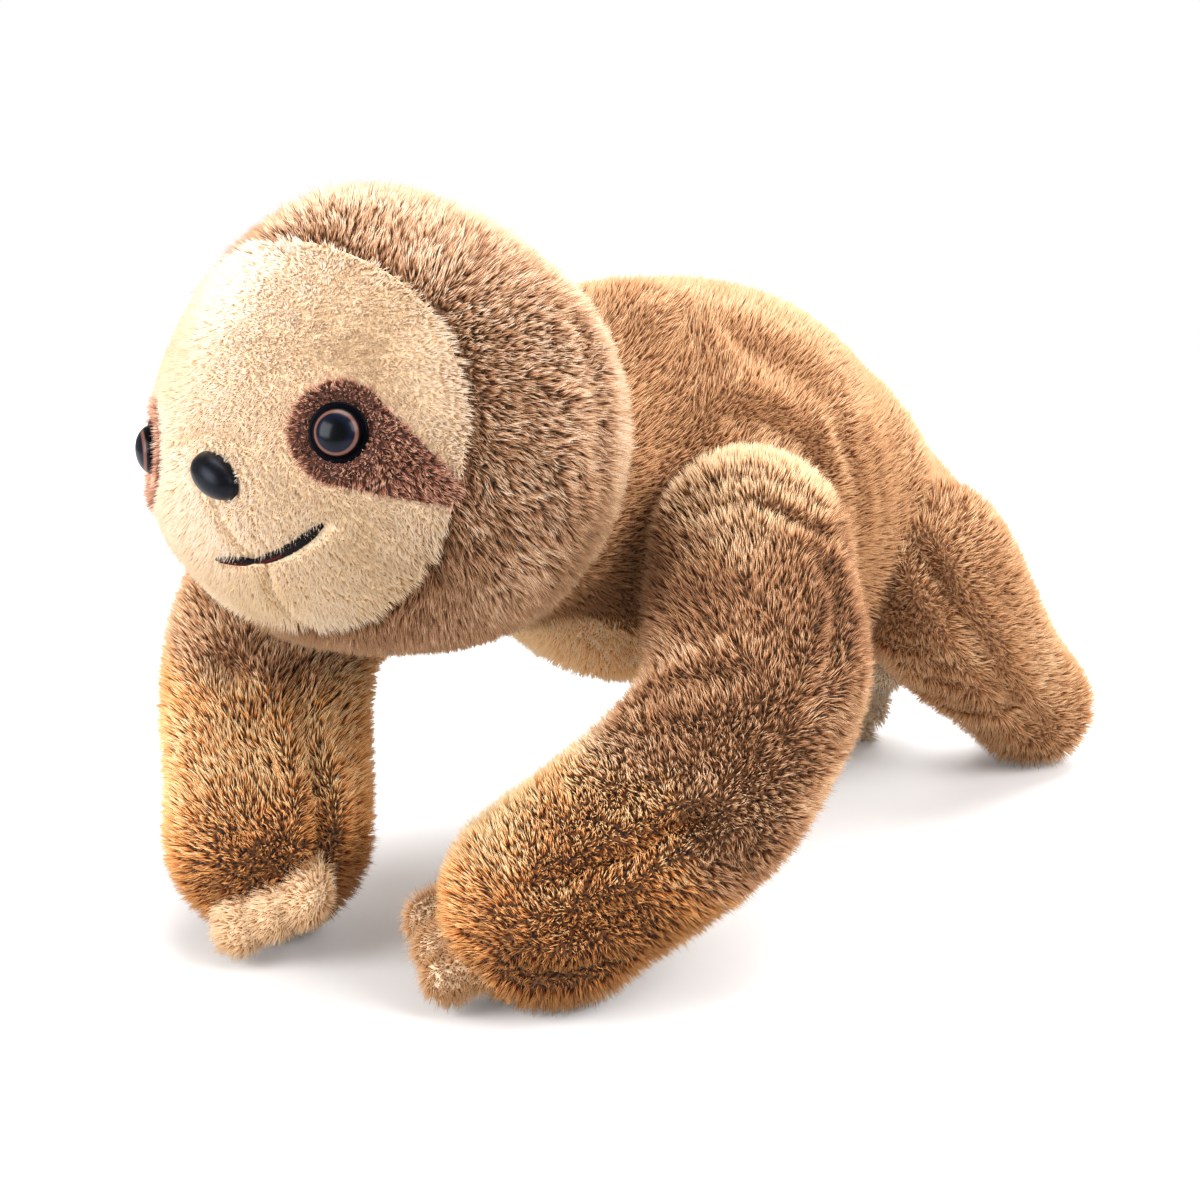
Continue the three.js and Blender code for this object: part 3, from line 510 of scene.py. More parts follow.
def lattice_luck(cells, seed, count):
    """Even random numbers for each cell of a cubic lattice, from the mixed bits of its three numbers."""
    keys = np.array([0x9E3779B97F4A7C15, 0xC2B2AE3D27D4EB4F, 0x165667B19E3779F9], np.uint64)
    mixed = (cells.astype(np.uint64) * keys).sum(1, dtype=np.uint64)[:, None]
    mixed = mixed + np.arange(1, count + 1, dtype=np.uint64) * keys[0] + np.array([seed], np.uint64) * keys[1]
    for shift, factor in ((30, 0xBF58476D1CE4E5B9), (27, 0x94D049BB133111EB), (31, 1)):
        mixed = (mixed ^ (mixed >> np.uint64(shift))) * np.uint64(factor)
    return (mixed >> np.uint64(11)) / 2.0**53


def nearest_tuft(points, size, seed):
    """The nearest of the centres that stand one in each cell of a lattice, with four random numbers of it."""
    cell = np.floor(points / size).astype(np.int64)
    best = np.full(len(points), np.inf)
    centre = np.zeros_like(points)
    luck = np.zeros((len(points), 4))
    for step in np.ndindex(3, 3, 3):
        other = cell + np.array(step) - 1
        chance = lattice_luck(other, seed, 7)
        place = (other + chance[:, :3]) * size
        gap = ((place - points) ** 2).sum(1)
        nearer = gap < best
        best[nearer], centre[nearer], luck[nearer] = gap[nearer], place[nearer], chance[nearer, 3:]
    return centre, luck


def drift(points, wavelength, seed):
    """A smooth random vector field: eight sine waves in random directions, added up."""
    rng = np.random.default_rng(seed)
    waves = unit(rng.normal(size=(8, 3))) * rng.uniform(0.7, 1.4, (8, 1)) * 2 * math.pi / wavelength
    phase = rng.uniform(0, 2 * math.pi, (8, 3))
    return np.sin((points @ waves.T)[:, :, None] + phase).sum(1) / 2


def scatter(grid, density, seed):
    """Points spread evenly over a grid's area, with their outward directions and random numbers."""
    rng = np.random.default_rng(seed)
    normals = grid_normals(grid)
    after = np.roll(grid, -1, axis=1)
    area = 0.5 * np.linalg.norm(np.cross(after[1:] - grid[:-1], grid[1:] - after[:-1]), axis=-1)
    total = np.cumsum(area)
    count = int(total[-1] * density / SQUARE_CENTIMETRE)
    pick = np.searchsorted(total, (np.arange(count) + rng.random(count)) * total[-1] / count)
    row, column = np.divmod(np.minimum(pick, area.size - 1), grid.shape[1])
    beside = (column + 1) % grid.shape[1]
    v, u = rng.random((2, count, 1))
    weights = ((1 - v) * (1 - u), (1 - v) * u, v * (1 - u), v * u)
    corners = ((row, column), (row, beside), (row + 1, column), (row + 1, beside))
    point = sum(weight * grid[place] for weight, place in zip(weights, corners))
    normal = unit(sum(weight * normals[place] for weight, place in zip(weights, corners)))
    return point, normal, rng.random((count, 6))


def only(mask, *arrays):
    """The rows of some arrays that a mask picks."""
    return [array[mask] for array in arrays]


def add_pile(name, body, slot, material, pile, hairs, seed, mask=slice(None)):
    """Fur as one mesh of slim three-sided hairs, of all hairs or of those that a mask picks.

    Each hair leans from the fabric's normal along the nap, turned a little by its tuft, and its tip is
    drawn towards the middle of the tuft, times clump, and less to that of the wider lock. Tone is its own
    random lightness plus shade, paler where the fabric faces up as painted light; along runs root to tip."""
    root, normal, luck, nap, length, clump, shade = only(mask, *hairs)
    count = len(root)
    tuft, tuft_luck = nearest_tuft(root, pile.tuft, seed)
    lock, lock_luck = nearest_tuft(root, pile.parting, seed + 1)
    flat = unit(nap) - (unit(nap) * normal).sum(1, keepdims=True) * normal
    steady = smoothstep(0.05, 0.6, np.linalg.norm(flat, axis=1))
    flat = unit(flat)
    beside = np.cross(normal, flat)
    swing = 1.2 * lock_luck[:, 0] + tuft_luck[:, 0] + 0.8 * luck[:, 0] - 1.5
    swing = np.radians(pile.spread * swing)[:, None]
    cosine, sine = np.cos(swing), np.sin(swing)
    flat, beside = cosine * flat + sine * beside, cosine * beside - sine * flat
    lean = pile.lean * steady + TUFT_LEAN * (tuft_luck[:, 1] - 0.5) + LOCK_LEAN * (lock_luck[:, 1] - 0.5)
    lean = np.radians(np.clip(lean + HAIR_LEAN * (luck[:, 1] - 0.5), *LEAN_LIMITS))[:, None]
    guard = GUARD_LENGTH * (luck[:, 5] > GUARD_LUCK)
    reach = (pile.length * length * (0.77 + 0.28 * luck[:, 2] + 0.16 * tuft_luck[:, 2] + guard))[:, None]
    tip = root + reach * (np.cos(lean) * normal + np.sin(lean) * flat)
    for centre, share in ((tuft, pile.pull * clump), (lock, LOCK_PULL * pile.pull * clump)):
        pulled = centre - root
        tip = tip + share[:, None] * (pulled - (pulled * normal).sum(1, keepdims=True) * normal)
    tip[:, 2] = np.maximum(tip[:, 2], FLOOR_GAP)
    way = unit(tip - root)
    side = unit(np.cross(way, normal + 0.01 * beside))
    over = np.cross(side, way)
    half = (pile.half_width * (0.75 + 0.5 * luck[:, 3]))[:, None]
    foot = root - FOOT_DEPTH * normal
    turns = np.radians([90, 210, 330])
    corners = [foot + half * (math.cos(turn) * side + math.sin(turn) * over) for turn in turns]
    points = np.stack(corners + [tip], 1)
    shape = np.array([[0, 1, 3], [1, 2, 3], [2, 0, 3], [0, 2, 1]])
    faces = (4 * np.arange(count)[:, None, None] + shape).reshape(-1, 3)
    tone = 0.35 * (tuft_luck[:, 3] - 0.5) + 0.2 * (lock_luck[:, 3] - 0.5) + 0.55 * (luck[:, 4] - 0.5)
    # 0.14 of the fabric's upward normal is painted light: hairs that face up are paler
    tone = np.clip(0.5 + pile.mottle * tone + 0.14 * normal[:, 2] + shade, 0.02, 0.98)
    along = np.tile([0.0, 0.0, 0.0, 1.0], count)
    # On a baked texture each hair is a sliver, with tone across and root to tip upwards
    across = 0.03 + 0.94 * tone[:, None] + np.array([-0.008, 0, 0.008, 0])
    upwards = np.tile([0.02, 0.05, 0.02, 0.98], (count, 1))
    bake_map = np.stack([across, upwards], -1)[:, shape].reshape(-1, 2)
    values = {"tone": np.repeat(tone, 4), "along": along}
    return make_piece(name, body, material, points.reshape(-1, 3), [faces], values, bake_map)


# Materials

def colour(hex_value):
    """A linear colour from an sRGB hex value."""
    parts = np.array([int(hex_value[place:place + 2], 16) / 255 for place in (1, 3, 5)])
    linear = np.where(parts <= 0.04045, parts / 12.92, ((parts + 0.055) / 1.055) ** 2.4)
    return (*(float(part) for part in linear), 1.0)


def node(tree, kind, inputs=None, stops=None, **settings):
    """Adds a node with its settings, a ramp's stops in hex, and inputs that are numbers or nodes' outputs."""
    made = tree.nodes.new(kind)
    for key, value in settings.items():
        setattr(made, key, value)
    if stops:
        elements = made.color_ramp.elements
        while len(elements) < len(stops):
            elements.new(1.0)
        for element, (place, shade) in zip(elements, stops):
            element.position, element.color = place, colour(shade)
    for key, value in (inputs or {}).items():
        if isinstance(value, bpy.types.NodeSocket):
            tree.links.new(value, made.inputs[key])
        else:
            made.inputs[key].default_value = value
    return made


def new_material(name):
    """An empty node material and its tree."""
    material = bpy.data.materials.new(name)
    material.use_nodes = True
    material.node_tree.nodes.clear()
    return material, material.node_tree


def surface(tree, inputs):
    """Ends a material in one Principled shader."""
    shader = node(tree, "ShaderNodeBsdfPrincipled", inputs)
    node(tree, "ShaderNodeOutputMaterial", {"Surface": shader.outputs[0]})


def grain(tree, width, detail, deep, pale, bump):
    """Outputs of a fine grain: a tint between two stops of a ramp, and a bump, in millimetres."""
    place = node(tree, "ShaderNodeTexCoord").outputs["Object"]
    inputs = {"Vector": place, "Scale": 1 / (width * MM), "Detail": detail}
    noise = node(tree, "ShaderNodeTexNoise", inputs).outputs[0]
    tint = node(tree, "ShaderNodeValToRGB", {0: noise}, stops=[deep, pale])
    relief = node(tree, "ShaderNodeBump", {"Height": noise, "Distance": bump * MM})
    return tint.outputs[0], relief.outputs[0]


def pile_finish(name, dark, mid, light, root, middle):
    """Acrylic fur pile: soft matt hairs, each with its own tone, darker at the root where light is lost."""
    material, tree = new_material(name)
    tone = node(tree, "ShaderNodeAttribute", attribute_name="tone").outputs["Fac"]
    along = node(tree, "ShaderNodeAttribute", attribute_name="along").outputs["Fac"]
    hue = node(tree, "ShaderNodeValToRGB", {0: tone}, stops=[(0, dark), (0.5, mid), (1, light)])
    stops = [(0.08, root), (0.4, middle), (0.75, "#ffffff")]
    depth = node(tree, "ShaderNodeValToRGB", {0: along}, stops=stops)
    inputs = {0: 1.0, 6: hue.outputs[0], 7: depth.outputs[0]}
    mixed = node(tree, "ShaderNodeMix", inputs, data_type="RGBA", blend_type="MULTIPLY")
    surface(tree, {
        "Base Color": mixed.outputs[2],
        "Roughness": 0.7,
        "Specular IOR Level": 0.25,
        "Sheen Weight": 0.2,
        "Sheen Roughness": 0.5,
        "Sheen Tint": colour("#ffd9a8"),
    })
    return material


def underfur(name, pale, deep):
    """Dense underfur at the foot of the pile: fibres lit here and there, dark between, about 1 mm apart."""
    material, tree = new_material(name)
    tint, bump = grain(tree, 1.1, 3.0, (0.4, deep), (0.62, pale), 0.5)
    surface(tree, {"Base Color": tint, "Roughness": 0.95, "Normal": bump})
    return material


TAN_PILE = pile_finish("tan_acrylic_fur", "#b08056", "#cfa074", "#f2d2aa", "#7a5840", "#d4b698")
ARM_PILE = pile_finish("brown_acrylic_fur", "#8a5c3c", "#ca976c", "#fadab4", "#28150b", "#b28e6c")
FOREARM_PILE = pile_finish("golden_acrylic_fur", "#a2703e", "#f8b872", "#ffe8b8", "#361a06", "#d6a468")
HOOD_PILE = pile_finish("grey_brown_acrylic_fur", "#946846", "#dfb088", "#ffe8cc", "#20120a", "#b89678")
BELLY_PILE = pile_finish("pale_belly_fur", "#e8b478", "#fdd09a", "#ffe6c0", "#c09058", "#f0dcb8")
CREAM_PILE = pile_finish("cream_short_plush", "#e1c6a2", "#f5e3ce", "#fef6ee", "#e4ccae", "#f4e8d8")
PATCH_PILE = pile_finish("brown_short_plush", "#8c5640", "#d2967c", "#ffd6ba", "#301a10", "#be9684")
CLAW_PILE = pile_finish("claw_plush", "#c89c72", "#eccca6", "#fdf0de", "#cca882", "#ecdcc4")

TAN_BASE = underfur("tan_underfur", "#a87850", "#5e3c22")
ARM_BASE = underfur("arm_underfur", "#7a4e28", "#1c0e06")
HOOD_BASE = underfur("hood_underfur", "#7a5638", "#241610")
CREAM_BASE = underfur("cream_underfur", "#eedaba", "#d8be9a")
PATCH_BASE = underfur("patch_underfur", "#5c392e", "#28150f")


def eye_finish():
    """Moulded acrylic safety eye: black rim and pupil, a brown ring between, under a clear glossy coat."""
    material, tree = new_material("glossy_acrylic_eye")
    radial = node(tree, "ShaderNodeAttribute", attribute_name="radial").outputs["Fac"]
    black, navy, ring = "#010102", "#050a18", "#66443a"
    stops = [(0.0, black), (0.36, black), (0.5, navy), (0.62, navy)]
    stops += [(0.66, ring), (0.72, ring), (0.75, black)]
    tint = node(tree, "ShaderNodeValToRGB", {0: radial}, stops=stops)
    shine = node(tree, "ShaderNodeMapRange", {0: radial, 1: 0.74, 2: 0.8, 3: 0.26, 4: 0.02})
    surface(tree, {
        "Base Color": tint.outputs[0],
        "Roughness": 0.4,
        "Specular IOR Level": 0.06,
        "Specular Tint": colour("#b4c4f0"),
        "Coat Weight": shine.outputs[0],
        "Coat Roughness": 0.2,
    })
    return material


def nose_finish():
    """Moulded plastic nose: black, glossy, with the slight unevenness of a cast skin."""
    material, tree = new_material("glossy_plastic_nose")
    tint, bump = grain(tree, 1.5, 3.0, (0.3, "#030304"), (0.7, "#0a0a0e"), 0.04)
    surface(tree, {
        "Base Color": tint,
        "Roughness": 0.36,
        "Specular IOR Level": 0.22,
        "Specular Tint": colour("#c2c8e0"),
        "Normal": bump,
    })
    return material


def thread_finish():
    """Embroidery rayon: twisted thread with a soft shine, black with dark red stitches on it."""
    material, tree = new_material("embroidery_thread")
    tone = node(tree, "ShaderNodeAttribute", attribute_name="tone").outputs["Fac"]
    stops = [(0.0, "#0a0708"), (0.45, "#140b0d"), (0.6, "#3c0e10"), (1.0, "#541415")]
    tint = node(tree, "ShaderNodeValToRGB", {0: tone}, stops=stops)
    surface(tree, {"Base Color": tint.outputs[0], "Roughness": 0.6, "Specular IOR Level": 0.05})
    return material


def plain_finish(name, pale, deep, width, roughness):
    """A plain matt stuff with a fine grain, in two close colours."""
    material, tree = new_material(name)
    tint, bump = grain(tree, width, 4.0, (0.3, deep), (0.7, pale), 0.2 * width)
    surface(tree, {"Base Color": tint, "Roughness": roughness, "Normal": bump})
    return material


EYE_ACRYLIC = eye_finish()
NOSE_PLASTIC = nose_finish()
MOUTH_THREAD = thread_finish()


# Body

def seat_on_head(grid, radius):
    """Points inside the ball of the head are pushed out to its radius, so that the body dishes round it."""
    away = grid - HEAD_CENTRE
    gap = np.linalg.norm(away, axis=-1, keepdims=True)
    return np.where(gap < radius, HEAD_CENTRE + unit(away) * radius, grid)


SIDES = ((1, "left"), (-1, "right"))
ARMS, LEGS = {}, {}
for sign, _ in SIDES:
    arm_stride, foot_stride = sign * ARM_STRIDE, sign * FOOT_STRIDE
    elbow, paw = mirrored(ELBOW, sign) + arm_stride, mirrored(PAW, sign) + arm_stride
    arm_places = [mirrored(SHOULDER, sign), elbow, paw]
    leg_places = [mirrored(HIP, sign), mirrored(FOOT, sign) + foot_stride]
    ARMS[sign] = Form(np.array(arm_places), ARM_RADII, 1.0, SIDEWAYS)
    LEGS[sign] = Form(np.array(leg_places), LEG_RADII, 1.0, SIDEWAYS)


def quarters(left, front, behind):
    """Masks of a pile's four quarters, so that each keeps within the size that a mesh may have."""
    return {
        "left_front": left & front,
        f"left_{behind}": left & ~front,
        "right_front": ~left & front,
        f"right_{behind}": ~left & ~front,
    }


def add_body_skin():
    """The body: a bag along the spine, folded, dished round the head and settled at the chest."""
    grid = bag(BODY, -SKIN_DEPTH["fur"], rings=130, caps=14, sides=130)
    for sign in (1, -1):
        grid = folded(grid, BODY_FOLDS, sign)
    grid = settled(seat_on_head(grid, HEAD_RADIUS - HEAD_DISH), BODY_SAGS, 1)
    add_skin("body_skin", "body", TAN_BASE, grid, ["body_cover"])
    return grid


def add_body_fur(grid):
    """The body's fur, brushed back and up: four quarters, and the paler oval of the belly."""
    root, normal, luck = scatter(grid, BACK.density, seed=11)
    off_head = np.linalg.norm(root - HEAD_CENTRE, axis=1)
    clear = off_head > HEAD_RADIUS - BODY_FUR_IN_HEAD
    for sign in (1, -1):
        clear &= depth_in(ARMS[sign], root) < BODY_FUR_IN_LIMB
        clear &= depth_in(LEGS[sign], root) < BODY_FUR_IN_LIMB
    root, normal, luck, off_head = only(clear, root, normal, luck, off_head)
    nap = BODY_NAP + 0.4 * drift(root, 90, seed=5)
    groove = np.maximum(in_grooves(root, BODY_FOLDS, 1), in_grooves(root, BODY_FOLDS, -1))
    # Painted shade: darker in the grooves, and where the fabric faces sideways or down
    shade = 0.08 * drift(root, 60, seed=6)[:, 0] - GROOVE_PAINTED_SHADE * groove
    shade -= 0.26 * smoothstep(0.55, -0.2, normal[:, 2])
    belly = on_belly(root) & (off_head > HEAD_RADIUS + BELLY_OFF_HEAD)
    # Painted light on the belly, which lies in shade: it undoes the underside's painted shade and lightens it
    shade += 0.4 * belly
    hairs = Hairs(root, normal, luck, nap, 1 - GROOVE_SHORT * groove, np.ones(len(root)), shade)
    parts = quarters(root[:, 0] > 0, root[:, 1] < BODY_SPLIT, "rear")
    for where, mask in parts.items():
        add_pile(f"body_fur_{where}", "body", "tan_fur", TAN_PILE, BACK, hairs, 21, mask & ~belly)
    add_pile("belly_fur", "body", "belly_fur", BELLY_PILE, FUR, hairs, 22, belly)


def on_belly(points):
    """Whether points lie within the belly's oval, of share along the spine and turn from straight down."""
    first, last = BODY.stations[[0, -1], 1]
    share = (points[:, 1] - first) / (last - first)
    spine, _ = line_through(BODY.stations, np.clip(share, 0, 1))
    turn = np.degrees(np.arctan2(points[:, 0] / BODY.width, spine[:, 2] - points[:, 2]))
    return ((share - BELLY_SHARE[0]) / BELLY_SHARE[1]) ** 2 + (turn / BELLY_FUR_TURN) ** 2 < 1


def add_belly_skin():
    """The belly panel: an oval on the body's form, as share along the spine and turn about straight down."""
    columns = round_steps(48)
    rows = np.linspace(0.04, 1, 14)[:, None]
    share = BELLY_SHARE[0] + BELLY_SHARE[1] * rows * np.cos(columns)
    turn = np.radians(90 + BELLY_HALF_TURN * rows * np.sin(columns))
    still = np.zeros(share.shape)
    outer, inner = (
        on_form(BODY, share, turn, radius_along(BODY, share) - depth, still)
        for depth in (SKIN_DEPTH["fur"] - BELLY_HALF_THICKNESS, SKIN_DEPTH["fur"] + BELLY_HALF_THICKNESS)
    )
    grid = settled(np.vstack([outer, inner[::-1]]), BODY_SAGS, 1)
    add_skin("belly_skin", "body", CREAM_BASE, grid, ["belly_panel"])


def add_body():
    """The body's skin, its belly panel and the fur on both."""
    grid = add_body_skin()
    add_belly_skin()
    add_body_fur(grid)


# Head

def seam_angle(phi):
    """The angle off straight ahead of the face's seam: an oval cone, with a bell for each shift."""
    wide, tall = math.tan(math.radians(FACE_HALF_WIDTH)), math.tan(math.radians(FACE_HALF_HEIGHT))
    angle = np.arctan(1 / np.hypot(np.cos(phi) / wide, np.sin(phi) / tall))
    for place, shift, spread in SEAM_SHIFTS:
        away = np.degrees(np.angle(np.exp(1j * (phi - math.radians(place)))))
        angle = angle + math.radians(shift) * np.exp(-((away / spread) ** 2))
    return angle


def past_seam(points):
    """Degrees of the head's points behind the seam between face and hood."""
    theta = np.arctan2(np.hypot(points[..., 0], points[..., 2]), -points[..., 1])
    return np.degrees(theta - seam_angle(np.arctan2(points[..., 2], points[..., 0])))


def head_grid(theta, phi, depth):
    """Points of the head at angles off straight ahead and round from its left, at a depth below the pile."""
    direction = np.stack([np.sin(theta) * np.cos(phi), -np.cos(theta), np.sin(theta) * np.sin(phi)], -1)
    return direction * (head_radius(direction) - depth)[..., None]


def eye_axes(sign):
    """An eye's direction, and the ways out and up on its patch."""
    ahead = face_direction(FACE_MIDDLE + sign * EYE_SIDE, EYE_RISE)
    side = unit(np.cross(ahead, [0.0, 0.0, 1.0]))
    return ahead, -sign * side, np.cross(side, ahead)


def patch_gap(out, up):
    """Distance outside a patch's teardrop, a round joined to a smaller one at its tail by straight edges."""
    length = np.linalg.norm(PATCH_TAIL)
    way = PATCH_TAIL / length
    along = out * way[0] + up * way[1]
    across = np.abs(up * way[0] - out * way[1])
    sine = (PATCH_RADIUS - PATCH_TAIL_RADIUS) / length
    cosine = math.sqrt(1 - sine**2)
    place = cosine * along - sine * across
    sides = cosine * across + sine * along - PATCH_RADIUS
    round_end = np.hypot(across, along) - PATCH_RADIUS
    tail_end = np.hypot(across, along - length) - PATCH_TAIL_RADIUS
    return np.where(place < 0, round_end, np.where(place > cosine * length, tail_end, sides))


def gap_to_patch(points, sign):
    """Distance of the head's points outside a patch's teardrop, seen along the eye's direction."""
    ahead, out, up = eye_axes(sign)
    return np.where(points @ ahead > 0, patch_gap(points @ out, points @ up), 99.0)


def mouth_rise(left):
    """Height of the smile's line, a parabola, at an offset from the head's middle."""
    return MOUTH_RISE * ((left - MOUTH_MIDDLE) / MOUTH_LEFT) ** 2 - MOUTH_DROP


def mouth_gap(points):
    """Distance of the head's points from the line of the mouth, seen from in front."""
    left = np.clip(points[..., 0], MOUTH_FIRST, MOUTH_LAST)
    gap = np.hypot(points[..., 0] - left, points[..., 2] - mouth_rise(left))
    return np.where(points[..., 1] < 0, gap, 99.0)


def over_mouth(points):
    """Whether the head's points lie above the line of the mouth, between its ends."""
    left = points[:, 0]
    return (points[:, 2] > mouth_rise(left)) & (left > MOUTH_FIRST) & (left < MOUTH_LAST)


def crease(points):
    """How much of the face's creases reaches a point of the head, seen from in front."""
    seen = np.stack([points[..., 0], 0 * points[..., 0], points[..., 2]], -1)
    reach = np.zeros(points.shape[:-1])
    for line, width, depth in FACE_CREASES:
        path = [(left, 0, up) for left, up in line]
        reach = np.maximum(reach, depth * np.exp(-((line_gap(seen, path) / width) ** 2)))
    return reach * (points[..., 1] < 0)


def add_face_skin(columns, edge):
    """The face: the head's surface inside the seam, dented at its creases, its mouth and its patches."""
    rows = np.linspace(FACE_FIRST_RING, 1, 46)[:, None]
    outer = head_grid(rows * edge, columns + 0 * rows, SKIN_DEPTH["cream"])
    dent = CREASE_DEPTH * crease(outer)
    dent += MOUTH_DENT * np.exp(-((mouth_gap(outer) / MOUTH_DENT_WIDTH) ** 2))
    for sign in (1, -1):
        dent += PATCH_DENT * smoothstep(1, -1, gap_to_patch(outer, sign))
    outer -= unit(outer) * dent[..., None]
    rows = np.linspace(FACE_FIRST_RING, 1, 12)[:, None]
    inner = head_grid(rows * edge, columns + 0 * rows, FACE_BACKING)
    grid = np.vstack([outer, inner[::-1]])
    add_skin("face_skin", "head", CREAM_BASE, from_head(grid), ["face_panel"])
    return outer


def add_face_fur(outer):
    """The face's short fur, brushed down and apart, and parted at the patches, nose, mouth and creases."""
    root, normal, luck = scatter(from_head(outer[:, ::-1]), CREAM.density, seed=41)
    local = into_head(root)
    _, nose_side, nose_up = nose_axes()
    nose_gap = np.hypot(local @ nose_side / NOSE_HALF_WIDTH, local @ nose_up / NOSE_HALF_HEIGHT)
    clear = (nose_gap > NOSE_FUR_EDGE) | (local[:, 1] > 0)
    clear &= mouth_gap(local) > np.where(over_mouth(local), MOUTH_CLEAR_ABOVE, MOUTH_CLEAR_BELOW)
    for sign in (1, -1):
        clear &= gap_to_patch(local, sign) > -PATCH_OVERLAP
    root, normal, luck, local = only(clear, root, normal, luck, local)
    left, behind, up = local.T
    away = np.stack([0.8 * np.tanh(left / 15), 0 * behind, np.full(len(local), -0.9)], 1)
    nap = away @ HEAD_MATRIX.T + 0.3 * drift(root, 50, seed=42)
    above = over_mouth(local)
    length = np.where(above, 0.3, 0.85)
    length += (1 - length) * smoothstep(1.2, np.where(above, 4.0, 2.4), mouth_gap(local))
    length *= 1 - 0.45 * crease(local)
    for sign in (1, -1):
        length *= 0.75 + 0.25 * smoothstep(0, 5, gap_to_patch(local, sign))
    length *= 1 + 0.35 * np.exp(-((past_seam(local) / 4.0) ** 2))
    # Painted shade: darker in the creases, towards the bottom of the face, over the top of its right half and
    # over its left half
    shade = 0.10 * drift(root, 40, seed=43)[:, 0] - 0.5 * crease(local) - 0.3 * smoothstep(-10, -55, up)
    shade -= 0.5 * smoothstep(15, -45, left) * smoothstep(-30, 30, up) + 0.2 * smoothstep(15, 55, left)
    hairs = Hairs(root, normal, luck, nap, length, np.ones(len(root)), shade)
    for side, mask in (("left", left > 0), ("right", left <= 0)):
        add_pile(f"face_fur_{side}", "head", "cream_fur", CREAM_PILE, CREAM, hairs, 44, mask)


def add_hood_skin(columns, edge):
    """The hood: the rest of the head's surface, from the seam to the back, folded a little at its side."""
    back = np.linspace(0, 1, 76)[:-1, None]
    theta = edge + back * (math.pi - edge)
    outer = head_grid(theta, columns + 0 * theta, SKIN_DEPTH["hood"])
    outer = folded(outer[:, ::-1], HOOD_FOLDS, 1)
    inner = head_grid(theta[::4], columns + 0 * theta[::4], HOOD_BACKING)
    grid = np.vstack([outer[::-1, ::-1], inner])
    add_skin("hood_skin", "head", HOOD_BASE, from_head(grid), ["head_hood"])
    return outer


def add_hood_fur(outer):
    """The hood's fur, brushed down and back, in quarters, and shorter where it lies in the body's dish."""
    root, normal, luck = scatter(from_head(outer), HOOD.density, seed=31)
    sunk = depth_in(BODY, root)
    root, normal, luck, sunk = only(sunk < HOOD_FUR_IN_BODY, root, normal, luck, sunk)
    local = into_head(root)
    nap = HOOD_NAP @ HEAD_MATRIX.T + 0.4 * drift(root, 60, seed=32)
    seam = np.exp(-((past_seam(local) / 3.0) ** 2))
    groove = np.maximum(seam, in_grooves(local, HOOD_FOLDS, 1))
    # Painted shade: darker along the seam and in the folds, underneath, and at the front of the right side
    shade = 0.10 * drift(root, 50, seed=33)[:, 0] - 0.3 * groove
    shade -= 0.32 * smoothstep(0, -0.8, normal[:, 2])
    shade -= 0.45 * smoothstep(10, -25, local[:, 0]) * smoothstep(15, -25, local[:, 1])
    length = (1 - 0.4 * groove) * (1 - 0.6 * smoothstep(2, 8, sunk))
    hairs = Hairs(root, normal, luck, nap, length, np.ones(len(root)), shade)
    parts = quarters(local[:, 0] > 0, local[:, 1] < HOOD_SPLIT, "back")
    for where, mask in parts.items():
        add_pile(f"hood_fur_{where}", "head", "hood_fur", HOOD_PILE, HOOD, hairs, 34, mask)


def patch_reach(phi):
    """Radius of a patch's outline at an angle round the eye, found by halving."""
    low, high = np.zeros(phi.shape), np.full(phi.shape, 60.0)
    for _ in range(24):
        half = (low + high) / 2
        inside = patch_gap(half * np.cos(phi), half * np.sin(phi)) < 0
        low, high = np.where(inside, half, low), np.where(inside, high, half)
    return low


def lathe(profile, ahead, side, up, place, stretch=1.0, sides=48):
    """A profile of (radius, height) turned about a direction, with its upward radius stretched."""
    radius, height = np.array(profile, float).T
    angle = round_steps(sides)
    ring = np.cos(angle)[:, None] * side + stretch * np.sin(angle)[:, None] * up
    return place + radius[:, None, None] * ring + height[:, None, None] * ahead


def add_patch(sign, name):
    """An eye's patch: the teardrop laid on the head, dimpled under the eye, its fur brushed outwards."""
    ahead, out, up = eye_axes(sign)
    columns = round_steps(72)
    reach = np.linspace(0.03, 1, 22)[:, None] * patch_reach(columns)
    flat_out, flat_up = reach * np.cos(columns), reach * np.sin(columns)
    flat = flat_out[..., None] * out + flat_up[..., None] * up

    def layer(depth):
        """The outline's points raised to a depth in the head, whose radius there is worked out in turns."""
        radius = head_radius(ahead)
        for _ in range(4):
            rise = np.sqrt((radius - depth) ** 2 - flat_out**2 - flat_up**2)
            points = flat + rise[..., None] * ahead
            radius = head_radius(unit(points))
        return points

    dimple = EYE_DIMPLE * smoothstep(EYE_RADIUS + 5, EYE_RADIUS - 1, np.hypot(flat_out, flat_up))
    outer = layer(SKIN_DEPTH["patch"] + dimple)
    inner = layer(SKIN_DEPTH["patch"] + PATCH_THICKNESS)
    grid = np.vstack([outer, inner[::-1]])
    add_skin(f"{name}_skin", "head", PATCH_BASE, from_head(grid), [name])

    top = from_head(outer)
    if np.sum(grid_normals(top)[5, 0] * (HEAD_MATRIX @ ahead)) < 0:
        top = top[:, ::-1]
    root, normal, luck = scatter(top, PATCH.density, seed=51)
    local = into_head(root)
    off_eye = np.hypot(local @ out, local @ up)
    clear = off_eye > EYE_RADIUS - EYE_RIM_ROUND
    root, normal, luck, off_eye, local = only(clear, root, normal, luck, off_eye, local)
    way = (local @ out)[:, None] * out + (local @ up)[:, None] * up + np.array([sign * 6.0, 0, -8.0])
    nap = way @ HEAD_MATRIX.T + 2.0 * drift(root, 30, seed=52)
    length = 0.4 + 0.6 * smoothstep(EYE_RADIUS, EYE_RADIUS + 5, off_eye)
    hairs = Hairs(root, normal, luck, nap, length, np.ones(len(root)), np.zeros(len(root)))
    add_pile(f"{name}_fur", "head", "patch_fur", PATCH_PILE, PATCH, hairs, seed=53)


